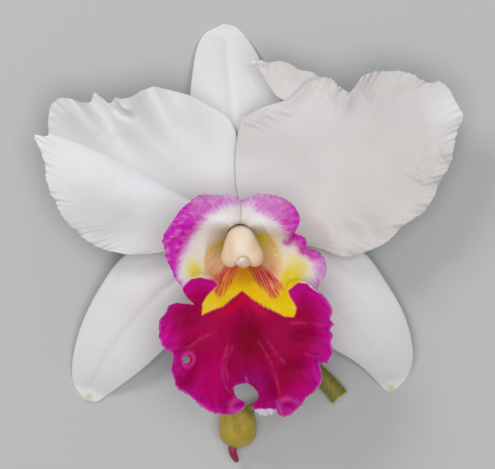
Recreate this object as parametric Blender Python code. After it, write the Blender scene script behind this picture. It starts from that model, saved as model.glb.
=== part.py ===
"""A picked cattleya orchid flower, lying face up on the backs of its three sepal tips.

Millimetres are used for every named size, and become metres where a mesh is made.
X runs to the flower's right as seen from the front, Y towards the dorsal sepal and Z up, out of its face.
Sizes are measured from the flower's centre, the axis of its ovary, at the height of the surface it lies on.
"""

import math

import bmesh
import bpy
import numpy as np
from mathutils import Matrix, Vector

MM = 0.001
FLOWER_CENTRE = (-3.0, 2.75, 0.0)
CLEARANCE = 0.35

# Receptacle and whorls
RECEPTACLE_RADIUS = 6.4
RECEPTACLE_TOP = 20.0
PETAL_HEIGHT = 18.6
CLAW_RADIUS = RECEPTACLE_RADIUS + CLEARANCE
SEPAL_THICKNESS = 1.0
PETAL_THICKNESS = 0.9
LIP_THICKNESS = 0.8
CREST_END = 0.06
LEAST_SOFTENING = 0.05
CLOSEST = 1e-6
CURVE_STEPS = 24

# Colours and finish: colour, roughness
TEPAL_WHITE = ((0.86, 0.85, 0.83), 0.5)
LIP_MAGENTA = ((0.55, 0.0, 0.20), 0.45)
COLUMN_CREAM = ((0.82, 0.70, 0.54), 0.45)
CAP_CREAM = ((0.86, 0.76, 0.62), 0.4)
POLLEN_YELLOW = ((0.85, 0.62, 0.12), 0.5)
STALK_GREEN = ((0.20, 0.22, 0.02), 0.45)
BUD_OLIVE = ((0.36, 0.29, 0.05), 0.4)
BUD_RASPBERRY = ((0.32, 0.02, 0.08), 0.4)


def clear_scene():
    for item in list(bpy.data.objects):
        bpy.data.objects.remove(item)


def make_material(name, look):
    colour, roughness = look
    material = bpy.data.materials.new(name)
    material.use_nodes = True
    shader = material.node_tree.nodes["Principled BSDF"]
    shader.inputs["Base Color"].default_value = (*colour, 1.0)
    shader.inputs["Roughness"].default_value = roughness
    shader.inputs["Metallic"].default_value = 0.0
    return material


def add_object(name, bm, look):
    """Turns a bmesh in millimetres round the flower's centre into an object in metres."""
    bmesh.ops.translate(bm, verts=bm.verts, vec=FLOWER_CENTRE)
    bmesh.ops.scale(bm, verts=bm.verts, vec=(MM, MM, MM))
    mesh = bpy.data.meshes.new(name)
    bm.to_mesh(mesh)
    bm.free()
    mesh.shade_smooth()
    piece = bpy.data.objects.new(name, mesh)
    piece.data.materials.append(make_material(name, look))
    bpy.context.scene.collection.objects.link(piece)
    return piece


def smooth_curve(points, steps):
    """A smooth curve through the points, with this many steps between each two of them."""
    knots = np.array(points, float)
    spans = np.linalg.norm(np.diff(knots, axis=0), axis=1) ** 0.5
    slopes = np.diff(knots, axis=0) / spans[:, None]
    tangents = np.empty_like(knots)
    tangents[0] = slopes[0]
    tangents[-1] = slopes[-1]
    weights = (spans[1:] / (spans[:-1] + spans[1:]))[:, None]
    tangents[1:-1] = slopes[:-1] * weights + slopes[1:] * (1 - weights)
    curve = [knots[0]]
    for i, span in enumerate(spans):
        for step in range(1, steps + 1):
            s = step / steps
            curve.append(
                (2 * s**3 - 3 * s**2 + 1) * knots[i]
                + (s**3 - 2 * s**2 + s) * span * tangents[i]
                + (3 * s**2 - 2 * s**3) * knots[i + 1]
                + (s**3 - s**2) * span * tangents[i + 1]
            )
    return np.array(curve)


def even_points(points, count):
    """Points at equal distances along the smooth curve through the given ones."""
    curve = smooth_curve(points, CURVE_STEPS)
    lengths = np.concatenate([[0], np.cumsum(np.linalg.norm(np.diff(curve, axis=0), axis=1))])
    places = np.linspace(0, lengths[-1], count + 1)
    return np.stack([np.interp(places, lengths, curve[:, k]) for k in range(3)], axis=1)


def soften(curve, width):
    """The curve with its waves averaged away over a share of its length, its two ends held."""
    count = len(curve)
    if width * count < LEAST_SOFTENING:
        return curve
    reach = count - 1
    before = 2 * curve[0] - curve[reach:0:-1]
    after = 2 * curve[-1] - curve[-2 :: -1][:reach]
    padded = np.concatenate([before, curve, after])
    offsets = np.arange(count)[:, None] + reach - np.arange(len(padded))[None, :]
    weights = np.exp(-0.5 * (offsets / (width * count)) ** 2)
    weights /= weights.sum(axis=1, keepdims=True)
    return weights @ padded


def bezier(a, b, c, d, t):
    return (1 - t) ** 3 * a + 3 * t * (1 - t) ** 2 * b + 3 * t**2 * (1 - t) * c + t**3 * d


def blend(first, second, share):
    return first + (second - first) * share


def grid_mesh(points):
    """A triangulated sheet through a grid of points, [row][column]."""
    rows, columns = points.shape[0] - 1, points.shape[1] - 1
    bm = bmesh.new()
    bmesh.ops.create_grid(bm, x_segments=columns, y_segments=rows, size=1.0)
    for vert, point in zip(bm.verts, points.reshape(-1, 3)):
        vert.co = Vector(point)
    bmesh.ops.triangulate(bm, faces=bm.faces[:], quad_method="FIXED")
    return bm


def upright(points):
    return np.zeros_like(points) + (0, 0, 1)


def sheet_normals(points):
    """Unit normals of a smooth grid, on its upper or outer face."""
    normals = np.cross(np.gradient(points, axis=1), np.gradient(points, axis=0))
    normals /= np.linalg.norm(normals, axis=2, keepdims=True)
    return normals * np.sign(normals[-1, 0, 2])


def blade(name, points, normals, thickness, look):
    """A closed blade with its front face through the grid; what would dip under the surface is flat on it."""
    bm = grid_mesh(points)
    front = bm.verts[:]
    bmesh.ops.extrude_face_region(bm, geom=bm.faces[:], use_keep_orig=True)
    for vert, normal in zip(front, normals.reshape(-1, 3)):
        vert.co -= Vector(normal) * thickness
        vert.co.z = max(vert.co.z, 0.0)
    bmesh.ops.recalc_face_normals(bm, faces=bm.faces[:])
    return add_object(name, bm, look)


def raise_crest(points, normals, line, rise, near, far):
    """Lifts a crest along a line in plan, by its slopes right and left of it; equal slopes make it round."""
    line = np.array(line, float)
    plan = points[:, :, :2]
    best = np.full(plan.shape[:2], np.inf)
    lift = np.zeros(plan.shape[:2])
    for i, (start, end) in enumerate(zip(line, line[1:])):
        span = end - start
        length = np.linalg.norm(span)
        along = span / length
        offset = plan - start
        held = np.clip(offset @ along, 0, length)
        side = offset @ np.array((-along[1], along[0]))
        distance = np.linalg.norm(offset - held[..., None] * along, axis=2)
        share = (i + held / length) / (len(line) - 1)
        height = rise * np.sin(np.pi * (CREST_END + share * (1 - 2 * CREST_END))) ** 0.6
        lean = side / np.maximum(distance, CLOSEST)
        slope = far + (near - far) * (1 - lean) / 2
        here = height * np.exp(-((distance / slope) ** (2 if near == far else 1)))
        lift = np.where(distance < best, here, lift)
        best = np.minimum(best, distance)
    return points + normals * lift[..., None]


def fold(points, normals, folds):
    """Raises each fold in turn: (line in plan, rise, slope on its right side, slope on its left)."""
    for line, rise, near, far in folds:
        points = raise_crest(points, normals, line, rise, near, far)
    return points


def prism(name, outline, low, high, look):
    """An upright cutter with the given outline in plan."""
    bm = bmesh.new()
    verts = [bm.verts.new((x, y, low)) for x, y in outline]
    face = bm.faces.new(verts)
    sides = bmesh.ops.extrude_face_region(bm, geom=[face], use_keep_orig=True)
    for item in sides["geom"]:
        if isinstance(item, bmesh.types.BMVert):
            item.co.z = high
    bmesh.ops.recalc_face_normals(bm, faces=bm.faces[:])
    return add_object(name, bm, look)


def oval(centre, radii, sides):
    angles = [2 * math.pi * i / sides for i in range(sides)]
    return [(centre[0] + radii[0] * math.cos(a), centre[1] + radii[1] * math.sin(a)) for a in angles]


def apply_modifiers(piece):
    graph = bpy.context.evaluated_depsgraph_get()
    piece.data = bpy.data.meshes.new_from_object(piece.evaluated_get(graph))
    piece.modifiers.clear()


def combine(piece, others, operation):
    """Joins other objects to a piece, or cuts them out of it, and removes them."""
    for other in others:
        modifier = piece.modifiers.new(operation.lower(), "BOOLEAN")
        modifier.operation = operation
        modifier.solver = "EXACT"
        modifier.object = other
    apply_modifiers(piece)
    for other in others:
        bpy.data.objects.remove(other)
    return piece


def claw(start_angle, end_angle, height, count):
    """The narrow foot of a blade: an arc round the receptacle."""
    angles = np.radians(np.linspace(start_angle, end_angle, count))
    heights = np.full(count, height)
    return np.stack([CLAW_RADIUS * np.cos(angles), CLAW_RADIUS * np.sin(angles), heights], axis=1)


# Sepals
SEPAL_ROWS = 18
SEPAL_COLUMNS = 8
SEPAL_CROWN = 1.3
SEPAL_GROOVE = 0.5
SEPAL_FULL_WIDTH = 15.0
TIP_DROP = 1.1
TIP_HEIGHT = 0.7

DORSAL_LEFT = [
    (-3.4, 6.2, 15), (-7.0, 14, 14.6), (-12, 25, 13.4), (-17, 40, 11.5), (-19, 52, 8.6),
    (-18.3, 61, 6.2), (-16.5, 71.8, 2.8), (-13.8, 77, 1.3), (-9.8, 79.3, 0.95), (-6.7, 80.8, 0.95),
]
DORSAL_MIDRIB = [
    (0, 6.8, 15), (-0.8, 15, 16.4), (-1.8, 27, 17.0), (-2.5, 38, 16.0), (-3.2, 48, 13.4),
    (-4.5, 62, 7.4), (-5.2, 72.2, 2.6), (-5.5, 76.8, 1.1), (-5.7, 81.2, 0.95),
]
DORSAL_RIGHT = [
    (3.4, 6.2, 15), (6.6, 14, 14.6), (11.4, 25, 13.4), (15.8, 38, 11.6), (16.4, 49, 9.2),
    (13.6, 57, 7.2), (9.4, 63.4, 5.6), (5.8, 70.6, 3.0), (2.1, 76, 1.4), (-1.5, 79.7, 0.95),
    (-4.7, 80.8, 0.95),
]
LEFT_OUTER = [
    (-6.7, -1.5, 15), (-16, -1, 14.2), (-30, -1.5, 13), (-43.6, -7.5, 11.5), (-53.8, -20.7, 9.0),
    (-61.2, -36, 6.0), (-64.4, -50, 3.0), (-63.8, -57.2, 1.5), (-61.4, -61, 1.0), (-59.2, -63.2, 0.95),
]
LEFT_MIDRIB = [
    (-4.9, -4.7, 15), (-15, -11.5, 15.2), (-26.3, -18.8, 14.6), (-38, -30.2, 12.5),
    (-49, -44, 8.3), (-54.8, -53.8, 4.2), (-57.4, -59.4, 1.3), (-58.3, -63.8, 0.95),
]
LEFT_INNER = [
    (-1.8, -6.5, 15), (-6, -15, 14.2), (-13, -26.5, 13), (-21.5, -36.5, 11.5), (-30.5, -45, 9.2),
    (-38.3, -52, 6.8), (-46.8, -58.4, 3.6), (-51.6, -61.8, 1.6), (-54.8, -63.8, 1.0), (-57.3, -63.8, 0.95),
]
RIGHT_OUTER = [
    (6.7, -1.5, 15), (18, -0.5, 14.2), (33, -1, 13), (46.6, -6.4, 11.5), (55.6, -18, 9.2),
    (63, -31.3, 6.4), (66.2, -45, 3.4), (65, -52.4, 1.8), (61.6, -57.4, 1.0), (59, -59.6, 0.95),
]
RIGHT_MIDRIB = [
    (5.2, -4.4, 15), (15, -11.5, 15.2), (28, -21, 14.6), (41, -32.5, 12.3),
    (51, -44.5, 8.0), (55.6, -52.2, 4.0), (57.5, -56.5, 1.4), (58.2, -60.2, 0.95),
]
RIGHT_INNER = [
    (2.2, -6.4, 15), (7, -14.5, 14.2), (15, -24.5, 13), (25, -35, 11.5), (35.3, -43.2, 9.0),
    (42.8, -47.6, 7.0), (48.6, -52.3, 4.2), (53, -56.9, 2.0), (55.3, -59.3, 1.0), (57.3, -60.3, 0.95),
]


def sepal_points(left, midrib, right, rows, columns):
    """A grid across a sepal, from margin to margin over the grooved midrib, low and flat at its tip."""
    low, middle, high = [even_points(curve, rows)[:, None] for curve in (left, midrib, right)]
    places = np.linspace(-1, 1, columns + 1)[None, :]
    share = np.abs(places)
    edges = np.where(places[..., None] < 0, low, high)
    points = blend(middle, edges, share[..., None])
    along = np.linspace(0, 1, rows + 1)[:, None]
    swell = np.minimum(1.0, np.linalg.norm(high - low, axis=2) / SEPAL_FULL_WIDTH) * (1 - along**4)
    points[:, :, 2] += swell * SEPAL_CROWN * 4 * share * (1 - share)
    points[:, :, 2] -= swell * SEPAL_GROOVE * np.maximum(0, 1 - share * SEPAL_COLUMNS / 2)
    points[:, :, 2] = np.maximum(points[:, :, 2] - TIP_DROP * along**4, TIP_HEIGHT)
    return points


def build_sepals():
    outlines = {
        "dorsal_sepal": (DORSAL_LEFT, DORSAL_MIDRIB, DORSAL_RIGHT),
        "lateral_sepal_left": (LEFT_OUTER, LEFT_MIDRIB, LEFT_INNER),
        "lateral_sepal_right": (RIGHT_OUTER, RIGHT_MIDRIB, RIGHT_INNER),
    }
    for name, curves in outlines.items():
        points = sepal_points(*curves, SEPAL_ROWS, SEPAL_COLUMNS)
        blade(name, points, upright(points), SEPAL_THICKNESS, TEPAL_WHITE)


# Petals
PETAL_ROWS = 12
PETAL_SOFTNESS = 0.11
WAVE_DEPTH = 0.75
LEFT_PETAL_CLAW = (123, 192)
RIGHT_PETAL_CLAW = (72, -2)
LEFT_PETAL_ARCH = 2.4
RIGHT_PETAL_ARCH = 2.6
ARCH_REACH = 50.0

LEFT_PETAL_MARGIN = [
    (-2.4, 13.4, 18.5), (-1.7, 20.4, 18.6), (-0.9, 28.2, 19.0), (-1.2, 36.5, 19.8), (-4.2, 43.6, 21.0),
    (-12.4, 49.0, 22.4), (-18.8, 52.3, 23.6), (-24.4, 53.8, 25.3), (-29, 54.9, 25.4), (-32.3, 55.8, 23.4),
    (-34.6, 55.0, 22.4), (-37.6, 54.0, 24.0), (-39.5, 52.6, 26.0), (-41.4, 51.5, 27.6), (-44.4, 50.8, 28.4),
    (-46.6, 51.4, 26.8), (-48.8, 49.4, 24.6), (-52, 51.6, 25.2), (-54.5, 53.4, 24.4), (-56.4, 50, 22.2),
    (-60.2, 50, 24.6), (-63.9, 51.1, 27.0), (-68, 51, 26.2), (-71, 48.5, 24.0), (-72.2, 43, 22.6),
    (-72.6, 37.4, 21.8), (-77.4, 37.6, 23.4), (-75.8, 33.6, 24.6), (-74.1, 29.3, 25.8), (-73.3, 24.4, 24.2),
    (-71.8, 16.9, 26.2), (-69.2, 12, 24.4), (-66.2, 6, 26.4), (-60.9, 0.8, 24.4), (-55.6, -3.4, 26.0),
    (-49.6, -6, 23.8), (-43.2, -7.3, 24.8), (-39.5, -7.5, 23.4), (-32, -6.8, 22.6), (-25, -5.6, 21.4),
    (-16, -3.8, 20.0),
]
RIGHT_PETAL_MARGIN = [
    (-0.6, 14.5, 19.7), (-1.5, 20.3, 20.6), (-1.7, 30, 21.5), (-0.8, 37.5, 22.4),
    (0.4, 43, 23.2), (1.2, 47, 23.6), (1.9, 51, 23.2), (2.4, 55, 22.6), (2.9, 59, 22.4),
    (3.5, 62.6, 22.8), (4.2, 65.2, 23.8), (7, 65.8, 22.8), (10.8, 64.9, 21.6),
    (14.8, 65.5, 21.6), (18.4, 64.8, 21.0), (22.4, 62.4, 20.6), (27, 61.5, 21.6), (30.4, 59.4, 22.6),
    (34, 58.9, 24.2),
    (36.6, 56.2, 25.2), (39.2, 54.4, 25.6), (41.1, 53.8, 24.8), (42.9, 55.6, 26.4), (45.6, 59.2, 28.0),
    (49, 61, 27.2), (54.5, 61.6, 24.6), (60.2, 61.5, 26.6), (65.5, 59.6, 28.8), (70.8, 56.9, 27.4),
    (74.2, 57.4, 29.4), (78, 54.5, 31.0), (81, 49.4, 30.4), (83.4, 44, 29.4), (81.6, 39.1, 26.4),
    (80.5, 33.8, 26.6), (79.6, 28.2, 24.2), (77.5, 23.7, 25.6), (75.2, 19.9, 23.0), (72.9, 14.3, 25.0),
    (69.2, 8.6, 22.8), (64.3, 5.6, 25.0), (60.5, 2.6, 22.8), (56, -2, 24.8), (48.9, -5.6, 25.0),
    (42.5, -7.8, 22.4), (37.6, -7.9, 23.6), (30, -5, 21.4), (18, -3, 20.0),
]
NOTCH = [
    (-3, 44.4), (0.6, 44.2), (3.8, 45.4), (8.3, 47.8), (13, 49.4), (16.4, 50.4),
    (13.6, 52.2), (10.8, 56.2), (7, 62.4), (3.6, 63.2), (-3, 62.6),
]
NOTCH_HEIGHTS = (12.0, 40.0)
LEFT_PETAL_FOLDS = [
    ([(-13, 10), (-24, 15.6), (-38.7, 23.7), (-50, 29.7), (-65.8, 36.1), (-73, 38.2)], -2.8, 9.0, 2.2),
    ([(-47, 47), (-43, 42), (-38, 37), (-28, 29)], 2.0, 4.0, 4.0),
    ([(-54, 48), (-50.5, 43), (-45, 37), (-36, 29)], -2.0, 4.0, 4.0),
    ([(-63, 49), (-59, 43), (-53, 37)], 1.6, 4.5, 4.5),
    ([(-33, 53), (-31, 44), (-26, 32)], -2.0, 6.0, 6.0),
    ([(-46, 51), (-43.6, 47.6), (-40, 45.8)], 2.4, 1.5, 1.8),
    ([(-57, 2), (-50, 8), (-40, 12)], 1.2, 5.0, 5.0),
    ([(-68, 22), (-58, 22), (-46, 20)], 1.2, 5.0, 5.0),
]
RIGHT_PETAL_FOLDS = [
    ([(9, 48.4), (14.2, 49), (18.5, 50.3), (22.8, 54.2), (27.2, 57.9), (31, 59)], 3.4, 8.0, 1.3),
    ([(44.6, 58.6), (46.6, 55), (49, 50.6)], 1.6, 1.5, 2.4),
    ([(58.4, 24.6), (64, 21.6), (72.6, 17.8)], 1.2, 1.5, 1.8),
    ([(72.4, 57), (70.4, 49), (72.0, 41), (77, 35)], -1.6, 6.0, 6.0),
    ([(33, 54), (27, 48), (20, 38)], -1.2, 7.0, 7.0),
    ([(54, 52), (48, 42), (36, 30)], -1.6, 10.0, 10.0),
    ([(35, -3), (33, 4), (26, 8)], 1.4, 4.0, 4.0),
    ([(50, -3), (47, 4), (38, 9)], 1.6, 4.0, 4.0),
]


def petal_points(margin, foot_angles, arch, rows, steps):
    """A fan of ribs from the claw out to a ruffled margin, whose waves die away inwards."""
    edge = smooth_curve(margin, steps)
    foot = claw(*foot_angles, PETAL_HEIGHT, len(edge))
    outline = soften(edge, PETAL_SOFTNESS)
    lengths = np.linalg.norm(outline - foot, axis=1)
    swell = np.outer(np.minimum(lengths / ARCH_REACH, 1.0), (0, 0, arch))
    grid = []
    for t in np.linspace(0, 1, rows + 1):
        rim = soften(edge, PETAL_SOFTNESS * (1 - t) ** WAVE_DEPTH)
        inner = foot + (outline - foot) / 3 + swell / 2
        outer = foot + (outline - foot) * 2 / 3 + swell
        grid.append(bezier(foot, inner, outer, rim, t))
    return np.array(grid)


def build_petals():
    """The left petal with its crease and waves, the right one with its pleat and the notch beside it."""
    left = petal_points(LEFT_PETAL_MARGIN, LEFT_PETAL_CLAW, LEFT_PETAL_ARCH, PETAL_ROWS, 1)
    left = fold(left, upright(left), LEFT_PETAL_FOLDS)
    blade("petal_left", left, upright(left), PETAL_THICKNESS, TEPAL_WHITE)
    right = petal_points(RIGHT_PETAL_MARGIN, RIGHT_PETAL_CLAW, RIGHT_PETAL_ARCH, PETAL_ROWS, 1)
    right = fold(right, upright(right), RIGHT_PETAL_FOLDS)
    petal = blade("petal_right", right, upright(right), PETAL_THICKNESS, TEPAL_WHITE)
    combine(petal, [prism("notch", NOTCH, *NOTCH_HEIGHTS, TEPAL_WHITE)], "DIFFERENCE")


# Lip
LIP_ROWS = 16
LIP_SOFTNESS = 0.05
LIP_FOOT_RADIUS = 4.4
LIP_FOOT_HEIGHT = RECEPTACLE_TOP + 2 * CLEARANCE
LIP_CENTRE = (0.5, -4.0)
TUBE_SIDE = (5.2, 13.0)
TUBE_FRONT = (8.8, 19.5)
TUBE_BACK = (-0.5, 29.0)
FLARE_SIDE = (0.68, 43.0)
FLARE_FRONT = (0.52, 57.0)
FLARE_BACK = (-0.15, 51.0)
BACK_REACH = 0.75
KEYHOLE = [
    (-2.2, -55.9), (-1.3, -55.2), (0.7, -54.7), (2.8, -54.5), (4.9, -55.8), (6.5, -57.7), (6.9, -59.5),
    (6.3, -61.0), (4.9, -62.2), (3.8, -63.1), (2.7, -62.5), (1.4, -61.2), (-0.9, -60.0), (-2.0, -58.3),
]
EYELET_CENTRE = (-19.6, -45.6)
EYELET_RADII = (1.3, 1.4)
EYELET_SIDES = 10
PUNCH_HEIGHTS = (28.0, 60.0)
LIP_FOLDS = [
    ([(-20.8, -19.6), (-18.2, -16.4), (-15.4, -15.5), (-10.2, -16.4), (-8, -18.4)], 3.6, 5.0, 1.5),
    ([(17.4, -21.6), (18.3, -19.4), (21.2, -17.2), (24.9, -17.6), (28.6, -19.8)], 3.6, 5.0, 1.5),
    ([(-27, -34.5), (-20, -34.6), (-14, -33.4)], -1.4, 3.0, 3.0),
    ([(-27.4, -42.2), (-22, -40.8), (-18.3, -38.2), (-15.4, -36.4)], 1.9, 2.0, 4.0),
    ([(-11.7, -43), (-14.7, -50.3), (-16.1, -58)], -1.3, 3.0, 3.0),
    ([(5.6, -36), (8.4, -44), (11.2, -53), (13.2, -62)], -1.5, 2.6, 2.6),
    ([(18.6, -35.8), (27, -37.6), (34, -39.3)], -1.4, 2.6, 2.6),
    ([(21.5, -41), (26.5, -43), (30.2, -43), (32.6, -44.7)], 1.8, 2.0, 3.6),
    ([(29, -47.6), (23.9, -49.6), (17.5, -48.9)], -1.4, 3.0, 3.0),
    ([(2.0, -22), (1.9, -30), (1.9, -42)], -1.6, 3.4, 3.4),
    ([(-4.4, -41), (-6.4, -47.6), (-5.4, -55), (-1.8, -60.4)], 1.3, 1.6, 2.4),
    ([(6.4, -38), (10.2, -47.6), (13.4, -55.4), (14.2, -62)], 1.3, 2.4, 1.6),
    ([(2.2, -60.5), (-0.7, -61.2), (-3.3, -62.6), (-3.7, -64.8), (-1.2, -65.8)], 1.4, 1.6, 1.2),
    ([(14.0, -61.2), (18.5, -60.4), (22.4, -62.2)], 1.4, 1.2, 2.0),
    ([(18.4, -2.6), (21.6, -2.4), (23.6, -4.4), (24.0, -7.6)], 1.3, 1.2, 1.4),
]
LEFT_SINUS = [
    (-29, -12.4), (-25.2, -13.8), (-23.4, -16.3), (-21.3, -18.9), (-20.8, -20.5), (-19.2, -23),
    (-16.9, -25.2), (-20.5, -25.1), (-23.1, -24.7), (-26.1, -25.7), (-29, -26.6),
]
LIP_MARGIN = [
    (0.1, 12.6, 43.4), (-1.8, 14.4, 44.2), (-4.4, 15.3, 46), (-7.3, 14.7, 45), (-11, 14.9, 47),
    (-14.2, 14.9, 46), (-16.7, 13.7, 48), (-19, 11.7, 46.4), (-21.4, 9.7, 48.4), (-22.9, 7.7, 47),
    (-25.1, 4.2, 49), (-26.7, 2, 47.4), (-28.2, -1.8, 49.4), (-27.4, -5, 47.4), (-26.8, -8.4, 48.6),
    (-25.8, -11.2, 46.6), (-24.5, -13.8, 47.2), (-24.2, -16.8, 46.2), (-24.4, -20, 47.6), (-25.2, -23.4, 49),
    (-26.6, -26.8, 49.6), (-27.4, -28.9, 48), (-29.4, -31, 49.4), (-29.8, -34.5, 47.4), (-29.2, -38.6, 48.2),
    (-27.4, -41.8, 45.4), (-24.8, -43.4, 43.4), (-24.8, -46.5, 43.2), (-25.4, -49.6, 44.2), (-24.4, -53, 42),
    (-23.4, -56.4, 42.8), (-20.4, -58.8, 40), (-17.6, -60.8, 40.6), (-14.6, -63.6, 38), (-10, -65.9, 38.6),
    (-4.8, -66.4, 36), (-0.8, -65.8, 36.6), (1.6, -64.2, 37.4), (2.5, -62, 37.6), (3.2, -58.8, 37.8),
    (4.2, -62.4, 37.2), (5.3, -65, 37.4), (8.1, -66.7, 38.4), (12.4, -66.2, 36.4),
    (13.6, -64.6, 35.8), (14.6, -66.9, 37.2), (18.6, -66.6, 39), (22.4, -63.2, 38.2), (24.6, -60, 40.6),
    (28, -57.4, 40), (30, -54, 42.4), (30.2, -50.4, 41.6), (29.4, -47.4, 42.6), (32, -47, 44.4),
    (34, -42.4, 44.4), (33.6, -39.2, 46.2), (34.2, -36.6, 45.4), (33, -34.6, 46.4), (34.4, -32.6, 48),
    (33, -30.8, 47.2), (34, -28.2, 49.2), (32.6, -24.6, 49), (30.6, -22, 48.6), (28.4, -19.9, 46.4),
    (29.6, -17.4, 45), (31.2, -15, 46), (31.8, -12.4, 47.2), (30.8, -8.4, 46.2), (28.2, -5.8, 48.4),
    (24.2, -4.3, 47), (23.4, -2.2, 48.4), (21.4, -0.9, 46.8), (20, -0.2, 45.8), (20.6, 1.6, 46.4),
    (21.6, 3.6, 48.6),
    (22.2, 6.3, 47), (21.0, 9, 48.8), (18.9, 11.7, 47.2), (15.4, 13.8, 48.2), (11.3, 14.9, 46.2),
    (7.3, 15.2, 47), (4.2, 14.7, 45.8), (1.4, 12.7, 45.2),
]


def lip_points(rows, steps):
    """A sheet from a ring round the column's foot, up a tube and out to its frill, waved and unwaved."""
    edge = smooth_curve(LIP_MARGIN, steps)
    outline = soften(edge, LIP_SOFTNESS)
    headings = np.unwrap(np.arctan2(outline[:, 1] - LIP_CENTRE[1], outline[:, 0] - LIP_CENTRE[0]))
    out = np.stack([np.cos(headings), np.sin(headings), np.zeros(len(edge))], axis=1)
    front = np.clip(-out[:, 1], 0, 1)[:, None] ** 1.5
    foot = out * LIP_FOOT_RADIUS
    foot[:, 2] = LIP_FOOT_HEIGHT
    back = np.clip(out[:, 1] / BACK_REACH, 0, 1)[:, None]
    back = back * back * (3 - 2 * back)
    sides = zip((*TUBE_SIDE, *FLARE_SIDE), (*TUBE_FRONT, *FLARE_FRONT), (*TUBE_BACK, *FLARE_BACK))
    tube_out, tube_rise, flare_share, flare_height = [
        side + (end_front - side) * front + (end_back - side) * back for side, end_front, end_back in sides
    ]
    tube = foot + out * tube_out + np.array([0, 0, 1]) * tube_rise
    flare = foot + (outline - foot) * flare_share
    flare[:, 2] = flare_height[:, 0]
    grid = []
    smooth = []
    for t in np.linspace(0, 1, rows + 1):
        rim = soften(edge, LIP_SOFTNESS * (1 - t))
        grid.append(bezier(foot, tube, flare, rim, t))
        smooth.append(bezier(foot, tube, flare, outline, t))
    return np.array(grid), np.array(smooth)


def build_lip():
    """The lip with its folds; the sinus between its lobes, the notch and the small hole are cut out."""
    points, smooth = lip_points(LIP_ROWS, 1)
    normals = sheet_normals(smooth)
    lip = blade("lip", fold(points, normals, LIP_FOLDS), normals, LIP_THICKNESS, LIP_MAGENTA)
    eyelet = oval(EYELET_CENTRE, EYELET_RADII, EYELET_SIDES)
    cuts = (KEYHOLE, eyelet, LEFT_SINUS)
    punches = [prism("punch", outline, *PUNCH_HEIGHTS, LIP_MAGENTA) for outline in cuts]
    combine(lip, punches, "DIFFERENCE")


# Round pieces swept along a spine
SPINE_STEPS = 2
COLUMN_SIDES = 16
STALK_SIDES = 12
BUD_STALK_SIDES = 10
TIP_SIDES = 12
BUD_RINGS = 14
BUD_SIDES = 20
CAP_RINGS = 10
CAP_SIDES = 16
POLLEN_RINGS = 6
POLLEN_SIDES = 8


def sweep(stations, sides, grow=0.0):
    """A closed tube: stations are (x, y, z, half width, half depth) along its spine."""
    path = smooth_curve(stations, SPINE_STEPS)
    centres = path[:, :3]
    tangents = np.gradient(centres, axis=0)
    side = Vector((1, 0, 0))
    bm = bmesh.new()
    rings = []
    for centre, tangent, size in zip(centres, tangents, path[:, 3:]):
        along = Vector(tangent).normalized()
        side = (side - along * side.dot(along)).normalized()
        depth = along.cross(side)
        turn = Matrix((side, depth, along)).transposed().to_4x4()
        scale = Matrix.Diagonal((size[0] + grow, size[1] + grow, 1, 1))
        place = Matrix.Translation(Vector(centre)) @ turn @ scale
        ring = bmesh.ops.create_circle(bm, segments=sides, radius=1.0, matrix=place)
        rings.append(ring["verts"])
    for lower, upper in zip(rings, rings[1:]):
        edges = [edge for vert in lower + upper for edge in vert.link_edges]
        ring_edges = [edge for edge in set(edges) if not edge.link_faces or len(edge.link_faces) < 2]
        loops = [edge for edge in ring_edges if both_in(edge, lower) or both_in(edge, upper)]
        bmesh.ops.bridge_loops(bm, edges=sorted(loops, key=edge_order))
    for ring in (rings[0], rings[-1]):
        bmesh.ops.contextual_create(bm, geom=ring)
    bmesh.ops.recalc_face_normals(bm, faces=bm.faces[:])
    return bm


def both_in(edge, verts):
    return edge.verts[0] in verts and edge.verts[1] in verts


def edge_order(edge):
    return sum(edge.verts[0].co) + 3 * sum(edge.verts[1].co)


# Column, anther cap and pollinia
COLUMN = [
    (0, 0, RECEPTACLE_TOP + CLEARANCE, 3.6, 3.6), (0, 0.2, 26, 3.5, 3.2), (0, 0.2, 33, 3.5, 3.2),
    (0, 0.4, 39.2, 3.7, 3.3), (0.3, -1.0, 43.4, 5.0, 3.8), (0.6, -4.9, 45.4, 7.1, 3.3),
    (0.9, -7.7, 45.2, 7.4, 2.4), (1.0, -9.6, 44.7, 5.4, 1.4), (1.0, -10.8, 44.4, 3.4, 0.9),
]
SHOULDERS = [(-3.7, -8.0, 45.1), (5.5, -7.8, 44.9)]
SHOULDER_RADII = (3.4, 4.1, 2.7)
SHOULDER_RINGS = 8
SEAT_END = (1.0, -11.3, 44.2, 3.4, 0.9)
CAP_CENTRE = (1.2, -9.8, 47.1)
CAP_RADII = (2.7, 2.3, 2.2)
CAP_WALL = 0.7
POLLEN_RADII = (0.62, 0.5, 0.5)
POLLEN_SPREAD = (0.5, 0.4)
POLLEN_LIFT = 0.45


def ellipsoid(centre, radii, rings, sides):
    bm = bmesh.new()
    bmesh.ops.create_uvsphere(bm, u_segments=sides, v_segments=rings, radius=1.0)
    bmesh.ops.scale(bm, verts=bm.verts, vec=radii)
    bmesh.ops.translate(bm, verts=bm.verts, vec=centre)
    return bm


def column_piece(name, stations, grow=0.0):
    """The rod with a rounded shoulder on each side of its tip, or the same grown a little all round."""
    rod = add_object(name, sweep(stations, COLUMN_SIDES, grow), COLUMN_CREAM)
    radii = [radius + grow for radius in SHOULDER_RADII]
    lobes = [ellipsoid(centre, radii, SHOULDER_RINGS, COLUMN_SIDES) for centre in SHOULDERS]
    return combine(rod, [add_object("shoulder", lobe, COLUMN_CREAM) for lobe in lobes], "UNION")


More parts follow.
